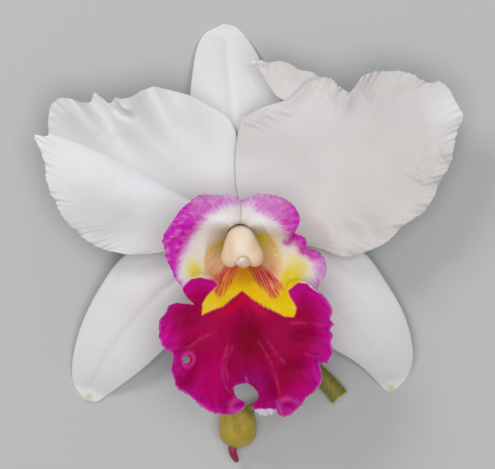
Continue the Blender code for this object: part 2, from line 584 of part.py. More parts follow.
def build_column():
    """The column, and on its tip the hollow anther cap."""
    column_piece("column", COLUMN)
    cap = add_object("anther_cap", ellipsoid(CAP_CENTRE, CAP_RADII, CAP_RINGS, CAP_SIDES), CAP_CREAM)
    seat = column_piece("cap_seat", [*COLUMN, SEAT_END], CLEARANCE)
    hollow_radii = [radius - CAP_WALL for radius in CAP_RADII]
    hollow = add_object("cap_hollow", ellipsoid(CAP_CENTRE, hollow_radii, CAP_RINGS, CAP_SIDES), CAP_CREAM)
    combine(cap, [seat, hollow], "DIFFERENCE")


def build_pollinia():
    """Four waxy pollen masses, joined in a block that lies on the column inside the cap."""
    x, y, z = CAP_CENTRE
    masses = []
    for across in (-1, 1):
        for along in (-1, 1):
            centre = (x + across * POLLEN_SPREAD[0], y + along * POLLEN_SPREAD[1], z + POLLEN_LIFT)
            mass = ellipsoid(centre, POLLEN_RADII, POLLEN_RINGS, POLLEN_SIDES)
            masses.append(add_object("pollinia", mass, POLLEN_YELLOW))
    combine(masses[0], masses[1:], "UNION")


# Stalk
OVARY = [
    (0, 0, RECEPTACLE_TOP, 6.2, 6.2), (0, 0, 18.5, 6.4, 6.4), (0, 0, 14.5, 6.3, 6.3),
    (0, -0.6, 11.4, 5.0, 4.8),
    (0.5, -3.2, 7.6, 3.6, 3.6), (1.8, -9, 5.2, 3.1, 3.1), (4.6, -19, 4.1, 2.8, 2.8),
    (9, -29, 3.7, 2.5, 2.5), (14, -38, 3.8, 2.6, 2.6), (18, -42.8, 3.9, 2.2, 2.2),
]
CUT_STALK = [
    (8.5, -31, 4.0, 2.6, 2.6), (12, -36, 4.0, 3.4, 3.4), (19, -43.5, 3.8, 3.2, 3.2),
    (27.6, -51, 3.7, 3.2, 3.2), (34, -57.2, 3.8, 3.4, 3.4), (38.2, -62.2, 3.9, 3.6, 3.6),
]
BUD_STALK = [
    (12, -36.5, 3.8, 2.0, 2.0), (17.6, -45, 3.3, 1.7, 1.7), (19.2, -53, 3.2, 1.7, 1.7),
    (16.8, -59.4, 3.6, 1.8, 1.8), (11.4, -63.2, 4.8, 1.9, 1.9), (5.6, -65.4, 6.0, 1.9, 1.9),
    (1.4, -68.0, 6.8, 1.7, 1.7),
]


def build_stalk():
    stalk = add_object("stalk", sweep(OVARY, STALK_SIDES), STALK_GREEN)
    branches = [sweep(CUT_STALK, STALK_SIDES), sweep(BUD_STALK, BUD_STALK_SIDES)]
    others = [add_object("branch", branch, STALK_GREEN) for branch in branches]
    combine(stalk, others, "UNION")


# Bud
BUD_CENTRE = (-1.0, -73.1, 7.08)
BUD_RADII = (7.2, 8.0, 6.6)
BUD_GROOVE = 0.1
BUD_GROOVE_WIDTH = 0.22
BUD_SQUARENESS = 0.64
BUD_TIP = [
    (-2.6, -79.2, 6.4, 1.5, 1.5), (-2.9, -81.5, 6.2, 1.6, 1.6), (-2.6, -83.6, 5.9, 1.4, 1.4),
    (-1.6, -85.5, 5.6, 1.1, 1.1), (-1.1, -86.5, 5.5, 0.7, 0.7),
]
TIP_SEAT = (-2.5, -78.7, 6.4, 1.5, 1.5)
STALK_SEAT = (1.0, -68.3, 6.9, 1.7, 1.7)


def build_bud():
    """A closed two-lobed bud, grooved along its length, with a hole at each end for its stalk and its tip."""
    bm = ellipsoid((0, 0, 0), (1, 1, 1), BUD_RINGS, BUD_SIDES)
    for vert in bm.verts:
        x, y, z = vert.co
        pinch = 1 - BUD_GROOVE * math.exp(-((x / BUD_GROOVE_WIDTH) ** 2)) * (1 - y * y)
        squared = 1 + BUD_SQUARENESS * (1 - abs(x)) * abs(x) * (1 - abs(y) ** 3)
        vert.co = Vector((x * squared, y, z * pinch * squared))
    bmesh.ops.scale(bm, verts=bm.verts, vec=BUD_RADII)
    bmesh.ops.translate(bm, verts=bm.verts, vec=BUD_CENTRE)
    bud = add_object("bud", bm, BUD_OLIVE)
    socket = add_object("tip_socket", sweep([TIP_SEAT, *BUD_TIP], TIP_SIDES, CLEARANCE), BUD_OLIVE)
    stalk_end = add_object("stalk_socket", sweep([*BUD_STALK, STALK_SEAT], BUD_STALK_SIDES, CLEARANCE), BUD_OLIVE)
    combine(bud, [socket, stalk_end], "DIFFERENCE")
    add_object("bud_tip", sweep(BUD_TIP, TIP_SIDES), BUD_RASPBERRY)


clear_scene()
build_stalk()
build_sepals()
build_petals()
build_column()
build_pollinia()
build_lip()
build_bud()
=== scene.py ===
import math

import bmesh
import bpy
import numpy as np
from mathutils import Matrix, Vector


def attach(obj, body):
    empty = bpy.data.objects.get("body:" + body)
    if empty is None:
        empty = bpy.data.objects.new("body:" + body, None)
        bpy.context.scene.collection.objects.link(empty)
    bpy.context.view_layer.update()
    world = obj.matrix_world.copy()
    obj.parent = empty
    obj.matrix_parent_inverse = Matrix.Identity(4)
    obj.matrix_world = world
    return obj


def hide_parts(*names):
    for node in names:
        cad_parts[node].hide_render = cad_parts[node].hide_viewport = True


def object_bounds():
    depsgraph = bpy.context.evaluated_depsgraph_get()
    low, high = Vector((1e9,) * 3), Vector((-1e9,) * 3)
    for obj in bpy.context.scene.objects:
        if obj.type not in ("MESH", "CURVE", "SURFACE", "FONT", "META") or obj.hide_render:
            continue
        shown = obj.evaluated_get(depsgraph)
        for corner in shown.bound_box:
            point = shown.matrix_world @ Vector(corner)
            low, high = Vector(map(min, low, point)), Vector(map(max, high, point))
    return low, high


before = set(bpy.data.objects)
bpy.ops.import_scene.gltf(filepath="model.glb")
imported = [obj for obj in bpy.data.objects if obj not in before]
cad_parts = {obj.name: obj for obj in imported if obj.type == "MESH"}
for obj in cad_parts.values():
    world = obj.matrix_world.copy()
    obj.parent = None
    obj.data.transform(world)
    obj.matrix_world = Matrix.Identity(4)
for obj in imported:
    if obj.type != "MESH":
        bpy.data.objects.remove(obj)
cad_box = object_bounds()

# Stalk
# The green ovary, the flower's own stalk, the cut main stalk and the branch to the bud: one growth of firm
# green tissue under a smooth waxy skin. Every other part of the flower grows from the ovary's top.
MM = 0.001
FLOWER_CENTRE = Vector((-3, 2.75, 0))
CLEARANCE = 0.35
FINE = 2
SHARP = math.radians(50)
CUT_DEPTH = 0.12

OVARY = [
    (0, 0, 20, 6.2, 6.2), (0, 0, 18.5, 6.4, 6.4), (0, 0, 14.5, 6.3, 6.3), (0, -0.6, 11.4, 5, 4.8),
    (0.5, -3.2, 7.6, 3.6, 3.6), (1.8, -9, 5.2, 3.1, 3.1), (4.6, -19, 4.1, 2.8, 2.8), (9, -29, 3.7, 2.5, 2.5),
    (14, -38, 3.8, 2.6, 2.6), (18, -42.8, 3.9, 2.2, 2.2),
]
CUT_STALK = [
    (8.5, -31, 4, 2.6, 2.6), (12, -36, 4, 3.4, 3.4), (19, -43.5, 3.8, 3.2, 3.2), (27.6, -51, 3.7, 3.2, 3.2),
    (34, -57.2, 3.8, 3.4, 3.4), (38.2, -62.2, 3.9, 3.6, 3.6),
]
BUD_STALK = [
    (12, -36.5, 3.8, 2, 2), (17.6, -45, 3.3, 1.7, 1.7), (19.2, -53, 3.2, 1.7, 1.7),
    (16.8, -59.4, 3.6, 1.8, 1.8), (11.4, -63.2, 4.8, 1.9, 1.9), (5.6, -65.4, 6, 1.9, 1.9),
    (1.4, -68, 6.8, 1.7, 1.7),
]


def node(tree, kind, inputs=None, **settings):
    """Adds a shader node; an input is a value, or the socket that feeds it."""
    made = tree.nodes.new(kind)
    for key, value in settings.items():
        setattr(made, key, value)
    for key, value in (inputs or {}).items():
        if isinstance(value, bpy.types.NodeSocket):
            tree.links.new(value, made.inputs[key])
        else:
            made.inputs[key].default_value = value
    return made


def maths(operation, first, second):
    inputs = {0: first, 1: second}
    return node(first.id_data, "ShaderNodeMath", inputs, operation=operation).outputs[0]


def times(first, second):
    return maths("MULTIPLY", first, second)


def ramp(value, low, high, start=0, end=1):
    """Turns a value between low and high smoothly into one between start and end."""
    inputs = {"Value": value, "From Min": low, "From Max": high, "To Min": start, "To Max": end}
    made = node(value.id_data, "ShaderNodeMapRange", inputs, interpolation_type="SMOOTHSTEP")
    return made.outputs["Result"]


def tint(share, first, second):
    """Mixes two colours, the second one by a share."""
    inputs = {0: share}
    for key, value in ((6, first), (7, second)):
        inputs[key] = value if isinstance(value, bpy.types.NodeSocket) else (*value, 1)
    return node(share.id_data, "ShaderNodeMix", inputs, data_type="RGBA").outputs[2]


def coats(colour, *layers):
    """Lays further colours over the first one, each by its share."""
    for share, over in layers:
        colour = tint(share, colour, over)
    return colour


def noise(place, scale, detail=3, roughness=0.55):
    inputs = {"Vector": place, "Scale": scale, "Detail": detail, "Roughness": roughness}
    return node(place.id_data, "ShaderNodeTexNoise", inputs).outputs["Fac"]


def object_place(tree):
    return node(tree, "ShaderNodeTexCoord").outputs["Object"]


def mask(tree, name, strength=1):
    """A mask of the piece, as strong as given."""
    return times(node(tree, "ShaderNodeAttribute", attribute_name=name).outputs["Fac"], strength)


def new_material(name):
    """A material with its Principled shader, ready for its own sockets."""
    material = bpy.data.materials.new(name)
    material.use_nodes = True
    tree = material.node_tree
    return material, tree, tree.nodes["Principled BSDF"]


def feed(shader, **sockets):
    """Links sockets, or sets values, on the shader; a name's underscore is a space."""
    for name, value in sockets.items():
        socket = shader.inputs[name.replace("_", " ")]
        if isinstance(value, bpy.types.NodeSocket):
            shader.id_data.links.new(value, socket)
        else:
            socket.default_value = value


def bump(shader, height, strength, distance):
    """Feeds a height in metres of depth to the shader's normal."""
    inputs = {"Height": height, "Strength": strength, "Distance": distance}
    feed(shader, Normal=node(shader.id_data, "ShaderNodeBump", inputs).outputs["Normal"])


def smooth_curve(points, steps):
    """A smooth curve through the points, with this many steps between each two of them."""
    knots = np.array(points, float)
    spans = np.linalg.norm(np.diff(knots, axis=0), axis=1) ** 0.5
    slopes = np.diff(knots, axis=0) / spans[:, None]
    tangents = np.empty_like(knots)
    tangents[0] = slopes[0]
    tangents[-1] = slopes[-1]
    weights = (spans[1:] / (spans[:-1] + spans[1:]))[:, None]
    tangents[1:-1] = slopes[:-1] * weights + slopes[1:] * (1 - weights)
    curve = [knots[0]]
    for i, span in enumerate(spans):
        for step in range(1, steps + 1):
            s = step / steps
            curve.append(
                (2 * s**3 - 3 * s**2 + 1) * knots[i]
                + (s**3 - 2 * s**2 + s) * span * tangents[i]
                + (3 * s**2 - 2 * s**3) * knots[i + 1]
                + (s**3 - s**2) * span * tangents[i + 1]
            )
    return np.array(curve)


def add_object(name, data):
    made = bpy.data.objects.new(name, data)
    bpy.context.scene.collection.objects.link(made)
    return made


def place_piece(name, bm, material):
    """Makes a bmesh in millimetres round the flower's centre into a smooth object in metres."""
    bmesh.ops.translate(bm, verts=bm.verts, vec=FLOWER_CENTRE)
    bmesh.ops.scale(bm, verts=bm.verts, vec=(MM, MM, MM))
    mesh = bpy.data.meshes.new(name)
    bm.to_mesh(mesh)
    bm.free()
    mesh.shade_smooth()
    mesh.materials.append(material)
    return add_object(name, mesh)


def vertex_places(piece):
    places = np.empty(len(piece.data.vertices) * 3)
    piece.data.vertices.foreach_get("co", places)
    return places.reshape(-1, 3)


def positions(piece):
    """Vertex places in millimetres round the flower's centre."""
    return vertex_places(piece) / MM - np.array(FLOWER_CENTRE)


def set_mask(piece, name, values):
    """Keeps a value for each vertex as an attribute that materials read."""
    attribute = piece.data.attributes.new(name, "FLOAT", "POINT")
    attribute.data.foreach_set("value", np.asarray(values, np.float32))


def dress(piece, part):
    """The finished piece, kept inside the CAD model's box, stands for its CAD node, which it hides, and hangs
    on the root body.
    """
    held = np.clip(vertex_places(piece), *np.array([list(corner) for corner in cad_box]))
    piece.data.vertices.foreach_set("co", held.reshape(-1))
    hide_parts(part)
    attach(piece, "root")


def sweep(stations, sides, steps, grow=0, shape=None):
    """A closed tube: stations are (x, y, z, half width, half depth) along its spine."""
    path = smooth_curve(stations, steps)
    centres = path[:, :3]
    tangents = np.gradient(centres, axis=0)
    side = Vector((1, 0, 0))
    bm = bmesh.new()
    rings = []
    for i, (centre, tangent, size) in enumerate(zip(centres, tangents, path[:, 3:])):
        along = Vector(tangent).normalized()
        side = (side - along * side.dot(along)).normalized()
        turn = Matrix((side, along.cross(side), along)).transposed().to_4x4()
        scale = Matrix.Diagonal((size[0] + grow, size[1] + grow, 1, 1))
        ring = bmesh.ops.create_circle(bm, segments=sides, radius=1)["verts"]
        if shape:
            for vert in ring:
                vert.co = shape(vert.co, i / (len(path) - 1))
        bmesh.ops.transform(bm, matrix=Matrix.Translation(Vector(centre)) @ turn @ scale, verts=ring)
        rings.append(list(dict.fromkeys(edge for vert in ring for edge in vert.link_edges)))
    for lower, upper in zip(rings, rings[1:]):
        bmesh.ops.bridge_loops(bm, edges=lower + upper)
    for ring in (rings[0], rings[-1]):
        bmesh.ops.contextual_create(bm, geom=ring)
    bmesh.ops.recalc_face_normals(bm, faces=bm.faces[:])
    return bm


def combine(piece, others, operation):
    """Joins other objects to a piece, or cuts them out of it, and removes them."""
    for other in others:
        modifier = piece.modifiers.new(operation.lower(), "BOOLEAN")
        modifier.operation = operation
        modifier.solver = "EXACT"
        modifier.object = other
    graph = bpy.context.evaluated_depsgraph_get()
    piece.data = bpy.data.meshes.new_from_object(piece.evaluated_get(graph))
    piece.modifiers.clear()
    for other in others:
        bpy.data.objects.remove(other)
    return piece


def ribbed(co, share):
    """Gives the ovary and its stalk the six soft ribs that run along them."""
    angle = math.atan2(co.y, co.x)
    return co * (1 + 0.035 * math.cos(6 * angle) * math.sin(math.pi * min(1, share * 1.1)))


stalk_skin, tree, shader = new_material("stalk skin")
place = object_place(tree)
streaks = noise(node(tree, "ShaderNodeMapping", {0: place, 3: (900, 240, 900)}).outputs[0], 1, 4)
pith = ramp(noise(place, 1500), 0.35, 0.65)
green = coats(
    tint(ramp(streaks, 0.3, 0.7), (0.13, 0.135, 0.008), (0.23, 0.215, 0.016)),
    (ramp(noise(place, 90, 4), 0.35, 0.75), (0.27, 0.225, 0.045)),
    (times(ramp(noise(place, 1800, 1), 0.68, 0.76), 0.5), (0.34, 0.33, 0.16)),
    (mask(tree, "cut_face"), tint(pith, (0.42, 0.44, 0.20), (0.62, 0.60, 0.38))),
)
feed(shader, Base_Color=green, Specular_IOR_Level=0.25, Roughness=ramp(streaks, 0.2, 0.8, 0.36, 0.52))
feed(shader, Subsurface_Weight=0.12, Subsurface_Radius=(0.6, 0.9, 0.2), Subsurface_Scale=0.0012)
bump(shader, maths("ADD", streaks, times(noise(place, 2600, 2), 0.35)), 0.5, 0.00016)

stalk = place_piece("flower_stalk", sweep(OVARY, 24 * FINE, 8, shape=ribbed), stalk_skin)
branches = [
    place_piece("cut_main_stalk", sweep(CUT_STALK, 20 * FINE, 8, shape=ribbed), stalk_skin),
    place_piece("bud_branch", sweep(BUD_STALK, 16 * FINE, 8), stalk_skin),
]
combine(stalk, branches, "UNION")
before_cut, cut_end = np.array(CUT_STALK)[-2:, :3]
cut_way = (cut_end - before_cut) / np.linalg.norm(cut_end - before_cut)
set_mask(stalk, "cut_face", (positions(stalk) - cut_end) @ cut_way > -CUT_DEPTH)
stalk.data.set_sharp_from_angle(angle=SHARP)
dress(stalk, "stalk")

# Sepals
# The three narrow outer leaves of the flower, fleshy and white, each with a shallow groove over its midrib.
# They grow from the ovary's rim and arch back, so that the flower lies on the backs of their tips.
SEPAL_ROWS = 48 * FINE
SEPAL_COLUMNS = 24 * FINE
MARGIN_STEPS = 24
SEPAL_CROWN = 1.3
SEPAL_GROOVE = 0.4
GROOVE_WIDTH = 0.09
RIPPLE = 0.03
RIPPLE_RATE = 34
SEPAL_FULL_WIDTH = 15.0
SEPAL_THICKNESS = 1.0
TIP_DROP = 1.1
TIP_HEIGHT = 0.7
DORSAL_LEFT = [
    (-3.4, 6.2, 15), (-7, 14, 14.6), (-12, 25, 13.4), (-17, 40, 11.5), (-19, 52, 8.6), (-18.3, 61, 6.2),
    (-16.5, 71.8, 2.8), (-13.8, 77, 1.3), (-9.8, 79.3, 0.95), (-6.7, 80.8, 0.95),
]
DORSAL_MIDRIB = [
    (0, 6.8, 15), (-0.8, 15, 16.4), (-1.8, 27, 17), (-2.5, 38, 16), (-3.2, 48, 13.4), (-4.5, 62, 7.4),
    (-5.2, 72.2, 2.6), (-5.5, 76.8, 1.1), (-5.7, 81.2, 0.95),
]
DORSAL_RIGHT = [
    (3.4, 6.2, 15), (6.6, 14, 14.6), (11.4, 25, 13.4), (15.8, 38, 11.6), (16.4, 49, 9.2), (13.6, 57, 7.2),
    (9.4, 63.4, 5.6), (5.8, 70.6, 3), (2.1, 76, 1.4), (-1.5, 79.7, 0.95), (-4.7, 80.8, 0.95),
]
LEFT_OUTER = [
    (-6.7, -1.5, 15), (-16, -1, 14.2), (-30, -1.5, 13), (-43.6, -7.5, 11.5), (-53.8, -20.7, 9),
    (-61.2, -36, 6), (-64.4, -50, 3), (-63.8, -57.2, 1.5), (-61.4, -61, 1), (-59.2, -63.2, 0.95),
]
LEFT_MIDRIB = [
    (-4.9, -4.7, 15), (-15, -11.5, 15.2), (-26.3, -18.8, 14.6), (-38, -30.2, 12.5), (-49, -44, 8.3),
    (-54.8, -53.8, 4.2), (-57.4, -59.4, 1.3), (-58.3, -63.8, 0.95),
]
LEFT_INNER = [
    (-1.8, -6.5, 15), (-6, -15, 14.2), (-13, -26.5, 13), (-21.5, -36.5, 11.5), (-30.5, -45, 9.2),
    (-38.3, -52, 6.8), (-46.8, -58.4, 3.6), (-51.6, -61.8, 1.6), (-54.8, -63.8, 1), (-57.3, -63.8, 0.95),
]
RIGHT_OUTER = [
    (6.7, -1.5, 15), (18, -0.5, 14.2), (33, -1, 13), (46.6, -6.4, 11.5), (55.6, -18, 9.2), (63, -31.3, 6.4),
    (66.2, -45, 3.4), (65, -52.4, 1.8), (61.6, -57.4, 1), (59, -59.6, 0.95),
]
RIGHT_MIDRIB = [
    (5.2, -4.4, 15), (15, -11.5, 15.2), (28, -21, 14.6), (41, -32.5, 12.3), (51, -44.5, 8), (55.6, -52.2, 4),
    (57.5, -56.5, 1.4), (58.2, -60.2, 0.95),
]
RIGHT_INNER = [
    (2.2, -6.4, 15), (7, -14.5, 14.2), (15, -24.5, 13), (25, -35, 11.5), (35.3, -43.2, 9), (42.8, -47.6, 7),
    (48.6, -52.3, 4.2), (53, -56.9, 2), (55.3, -59.3, 1), (57.3, -60.3, 0.95),
]


def running_length(curve):
    return np.concatenate([[0], np.cumsum(np.linalg.norm(np.diff(curve, axis=0), axis=1))])


def even_points(points, count):
    """Points at equal distances along the smooth curve through the given ones."""
    curve = smooth_curve(points, MARGIN_STEPS)
    lengths = running_length(curve)
    places = np.linspace(0, lengths[-1], count + 1)
    return np.stack([np.interp(places, lengths, curve[:, k]) for k in range(3)], axis=1)


def blend(first, second, share):
    return first + (second - first) * share


def sepal_points(left, midrib, right, rows, columns):
    """A grid across a sepal over its grooved midrib, low and flat at its tip."""
    low, middle, high = [even_points(curve, rows)[:, None] for curve in (left, midrib, right)]
    places = np.linspace(-1, 1, columns + 1)[None, :]
    share = np.abs(places)
    edges = np.where(places[..., None] < 0, low, high)
    points = blend(middle, edges, share[..., None])
    along = np.linspace(0, 1, rows + 1)[:, None]
    swell = np.minimum(1, np.linalg.norm(high - low, axis=2) / SEPAL_FULL_WIDTH) * (1 - along**4)
    crown = 4 * share * (1 - share)
    heights = points[:, :, 2] + swell * SEPAL_CROWN * crown
    heights -= swell * SEPAL_GROOVE * np.exp(-((share / GROOVE_WIDTH) ** 2))
    heights += swell * RIPPLE * np.cos(share * RIPPLE_RATE) * crown
    points[:, :, 2] = np.maximum(heights - TIP_DROP * along**4, TIP_HEIGHT)
    return points


def upright(points):
    return np.zeros_like(points) + (0, 0, 1)


def blade(name, points, normals, thickness, material):
    """A closed blade with its front face on the grid; its UV map runs across it and from foot to margin."""
    rows, columns = points.shape[0] - 1, points.shape[1] - 1
    bm = bmesh.new()
    bmesh.ops.create_grid(bm, x_segments=columns, y_segments=rows, size=1)
    uv = bm.loops.layers.uv.new("blade")
    for face in bm.faces:
        for loop in face.loops:
            loop[uv].uv = ((loop.vert.co.x + 1) / 2, (loop.vert.co.y + 1) / 2)
    front = bm.verts[:]
    for vert, point in zip(front, points.reshape(-1, 3)):
        vert.co = Vector(point)
    bmesh.ops.extrude_face_region(bm, geom=bm.faces[:], use_keep_orig=True)
    depths = np.broadcast_to(np.asarray(thickness, float), points.shape[:2]).reshape(-1)
    for vert, normal, depth in zip(front, normals.reshape(-1, 3), depths):
        vert.co -= Vector(normal) * float(depth)
        vert.co.z = max(vert.co.z, 0)
    bmesh.ops.recalc_face_normals(bm, faces=bm.faces[:])
    return place_piece(name, bm, material)


def glow(spots, x, y, width, height, strength=1):
    """A soft round or oval spot in plan."""
    return strength * np.exp(-(((spots[:, 0] - x) / width) ** 2) - ((spots[:, 1] - y) / height) ** 2)


def ovals(spots, *places):
    return np.clip(np.sum([glow(spots, *place) for place in places], axis=0), 0, 1)


def new_group(name, output, inputs):
    """Starts a shared node group: its tree, the sockets that feed it, and the socket for its result."""
    tree = bpy.data.node_groups.new(name, "ShaderNodeTree")
    for socket, kind in inputs.items():
        tree.interface.new_socket(socket, in_out="INPUT", socket_type="NodeSocket" + kind)
    tree.interface.new_socket(output, in_out="OUTPUT", socket_type="NodeSocketFloat")
    return tree, tree.nodes.new("NodeGroupInput").outputs, tree.nodes.new("NodeGroupOutput").inputs[output]


def vein_group():
    """Irregular fine veins from foot to margin, which fork on the way: 1 on a vein, 0 between them."""
    sockets = {"UV": "Vector", "Place": "Vector", "Count": "Float", "Wander": "Float"}
    tree, given, result = new_group("veins", "Vein", sockets)
    uv = node(tree, "ShaderNodeSeparateXYZ", {0: given["UV"]}).outputs
    drift = maths("SUBTRACT", noise(given["Place"], 90), 0.5)
    across = maths("ADD", uv["X"], times(drift, given["Wander"]))
    lines, forks = [
        ramp(maths("PINGPONG", times(times(across, given["Count"]), number), 0.5), 0.30, 0.5)
        for number in (1, 2)
    ]
    both = maths("MAXIMUM", lines, times(forks, ramp(uv["Y"], 0.35, 0.7)))
    patchy = ramp(noise(given["Place"], 260), 0.35, 0.62, 0.15)
    tree.links.new(times(both, patchy), result)
    return tree


def streak_group():
    """Soft streaks that run from foot to margin, about 0.5 on average."""
    sockets = {"UV": "Vector", "Across": "Float", "Along": "Float"}
    tree, given, result = new_group("streaks", "Streak", sockets)
    uv = node(tree, "ShaderNodeSeparateXYZ", {0: given["UV"]}).outputs
    stretched = {"X": times(uv["X"], given["Across"]), "Y": times(uv["Y"], given["Along"])}
    place = node(tree, "ShaderNodeCombineXYZ", stretched).outputs[0]
    tree.links.new(noise(place, 1, 3, 0.6), result)
    return tree


VEINS = vein_group()
STREAKS = streak_group()


def from_group(tree, group_tree, **values):
    """Adds a shared group that reads the blade's own UV map, with its values set."""
    group = node(tree, "ShaderNodeGroup", node_tree=group_tree)
    feed(group, UV=node(tree, "ShaderNodeUVMap", uv_map="blade").outputs["UV"], **values)
    return group.outputs[0]


def veins(tree, count, wander):
    return from_group(tree, VEINS, Place=object_place(tree), Count=count, Wander=wander)


def streaks_along(tree, across, along):
    return from_group(tree, STREAKS, Across=across, Along=along)


def tepal_skin(name, vein_count, light, shade):
    """Fleshy white blade: faint veins, a warm foot and a fine grain of cells that makes it satin, with
    painted light and painted shade laid on by masks.
    """
    material, tree, shader = new_material(name)
    place = object_place(tree)
    lines = veins(tree, vein_count, 0.03)
    fibres = streaks_along(tree, vein_count * 7, 7)
    clouds = noise(place, 45, 4)
    white = coats(
        tint(ramp(clouds, 0.3, 0.7), light, shade),
        (ramp(fibres, 0.35, 0.75, 0, 0.12), (0.66, 0.65, 0.64)),
        (times(lines, 0.10), (0.66, 0.655, 0.63)),
        # The next two coats are painted light and painted shade: paler white where the blade is lit, darker
        # white where it is shaded.
        (mask(tree, "light", 0.6), (0.78, 0.78, 0.81)),
        (mask(tree, "painted_shade", 0.6), (0.48, 0.48, 0.485)),
        (mask(tree, "warm", 0.8), (0.66, 0.64, 0.46)),
        (mask(tree, "keel"), (0.42, 0.46, 0.16)),
        (times(ramp(noise(place, 420, 1), 0.78, 0.80), 0.35), (0.50, 0.40, 0.38)),
    )
    feed(shader, Base_Color=white, Roughness=ramp(clouds, 0.3, 0.7, 0.46, 0.58), Sheen_Weight=0.05)
    feed(shader, Subsurface_Weight=0.25, Subsurface_Radius=(1, 0.9, 0.8), Subsurface_Scale=0.0012)
    feed(shader, Sheen_Roughness=0.4)
    relief = maths("ADD", times(noise(place, 3200, 2), 0.25), times(fibres, 0.35))
    bump(shader, maths("SUBTRACT", relief, times(lines, 0.25)), 0.5, 0.00016)
    return material


sepal_skin = tepal_skin("sepal skin", 9, (0.67, 0.66, 0.68), (0.63, 0.615, 0.625))
# Each sepal's last entry is an oval of painted light: paler skin laid where the sepal lies in shade.
SEPALS = {
    "dorsal_sepal": (DORSAL_LEFT, DORSAL_MIDRIB, DORSAL_RIGHT, (-4, 60, 20, 30, 0.6)),
    "lateral_sepal_left": (LEFT_OUTER, LEFT_MIDRIB, LEFT_INNER, (-32, -13, 13, 11, 0.9)),
    "lateral_sepal_right": (RIGHT_OUTER, RIGHT_MIDRIB, RIGHT_INNER, (40, -25, 26, 22, 0.8)),
}
for part, (*curves, light) in SEPALS.items():
    points = sepal_points(*curves, SEPAL_ROWS, SEPAL_COLUMNS)
    sepal = blade("white_" + part, points, upright(points), SEPAL_THICKNESS, sepal_skin)
    spots = positions(sepal)
    set_mask(sepal, "warm", np.exp(-np.hypot(spots[:, 0], spots[:, 1]) / 9))
    # Painted light from the sepal's oval.
    set_mask(sepal, "light", ovals(spots, light))
    tip = np.array(curves[1][-1][:2])
    keel = np.array(curves[1][-2][:2])
    reach = np.hypot(*(spots[:, :2] - blend(tip, keel, 0.4)).T)
    set_mask(sepal, "keel", 0.75 * np.exp(-((reach / 1.3) ** 2)) * (part != "dorsal_sepal"))
    dress(sepal, part)

# Petals
# The two broad ruffled inner leaves, thin and white, on the ovary's rim above the sepals. The left one has a
# sharp fold down its middle; the right one has a pleat that lifts its margin in front of the flap beside it.
PETAL_HEIGHT = 18.6
PETAL_THICKNESS = 0.9
PETAL_EDGE = 0.45
PETAL_THINNING = 12.0
PETAL_ROWS = 54 * FINE
PETAL_STEPS = 4 * FINE
PETAL_SOFTNESS = 0.11
WAVE_DEPTH = 0.75
CLAW_RADIUS = 6.4 + CLEARANCE
ARCH_REACH = 50.0
CREST_END = 0.06
CREST_BLEND = 0.5
CREST_FULLNESS = 0.6
LINE_STEPS = 6
FRILL_WAVES = 6
FRILL_LAG = 3
FRILL_FADE = 1.3
SCALLOP_START = 1.3
ROW_CROWDING = 1.25

LEFT_PETAL_MARGIN = [
    (-0.2, 13.4, 18.4), (-0.6, 20.2, 18.6), (-0.9, 28.2, 19), (-1.2, 36.5, 19.8), (-4.2, 43.6, 21),
    (-12.4, 49, 22.4), (-18.8, 52.3, 23.6), (-24.4, 53.8, 25.3), (-29, 54.9, 25.4), (-32.3, 55.8, 23.4),
    (-34.6, 55, 22.4), (-37.6, 54, 24), (-39.5, 52.6, 26), (-41.4, 51.5, 27.6), (-44.4, 50.8, 28.4),
    (-46.6, 51.4, 26.8), (-48.8, 49.4, 24.6), (-52, 51.6, 25.2), (-54.5, 53.4, 24.4), (-56.4, 50, 22.2),
    (-60.2, 50, 24.6), (-63.9, 51.1, 27), (-68, 51, 26.2), (-71, 48.5, 24), (-72.2, 43, 22.6),
    (-72.6, 37.4, 21.8), (-77.4, 37.6, 23.4), (-75.8, 33.6, 24.6), (-74.1, 29.3, 25.8), (-73.3, 24.4, 24.2),
    (-71.8, 16.9, 26.2), (-69.2, 12, 24.4), (-66.2, 6, 26.4), (-60.9, 0.8, 24.4), (-55.6, -3.4, 26),
    (-49.6, -6, 23.8), (-43.2, -7.3, 24.8), (-39.5, -7.5, 23.4), (-32, -6.8, 22.6), (-25, -5.6, 21.4),
    (-16, -3.8, 20),
]
RIGHT_PETAL_MARGIN = [
    (-0.6, 14.5, 19.7), (-1.5, 20.3, 20.6), (-1.7, 30, 21.5), (-0.8, 37.5, 22.4), (0.4, 43, 23.2),
    (1.2, 47, 23.6), (1.9, 51, 23.2), (2.4, 55, 22.6), (2.9, 59, 22.4), (3.5, 62.6, 22.8), (4.2, 65.2, 23.8),
    (7, 65.8, 22.8), (10.8, 64.9, 21.6), (14.8, 65.5, 21.6), (18.4, 64.8, 21), (22.4, 62.4, 20.6),
    (27, 61.5, 21.6), (30.4, 59.4, 22.6), (34, 58.9, 24.2), (36.6, 56.2, 25.2), (39.2, 54.4, 25.6),
    (41.1, 53.8, 24.8), (42.9, 55.6, 26.4), (45.6, 59.2, 28), (49, 61, 27.2), (54.5, 61.6, 24.6),
    (60.2, 61.5, 26.6), (65.5, 59.6, 28.8), (70.8, 56.9, 27.4), (74.2, 57.4, 29.4), (78, 54.5, 31),
    (81, 49.4, 30.4), (83.4, 44, 29.4), (81.6, 39.1, 26.4), (80.5, 33.8, 26.6), (79.6, 28.2, 24.2),
    (77.5, 23.7, 25.6), (75.2, 19.9, 23), (72.9, 14.3, 25), (69.2, 8.6, 22.8), (64.3, 5.6, 25),
    (60.5, 2.6, 22.8), (56, -2, 24.8), (48.9, -5.6, 25), (42.5, -7.8, 22.4), (37.6, -7.9, 23.6),
    (30, -5, 21.4), (18, -3, 20),
]
NOTCH = [
    (-3, 44.4), (0.6, 44.2), (3.8, 45.4), (8.3, 47.8), (13, 49.4), (16.4, 50.4), (13.6, 52.2), (10.8, 56.2),
    (7, 62.4), (3.6, 63.2), (-3, 62.6),
]
NOTCH_HEIGHTS = (12, 40)
CREASE = [(-13, 10), (-24, 15.6), (-38.7, 23.7), (-50, 29.7), (-65.8, 36.1), (-73, 38.2)]


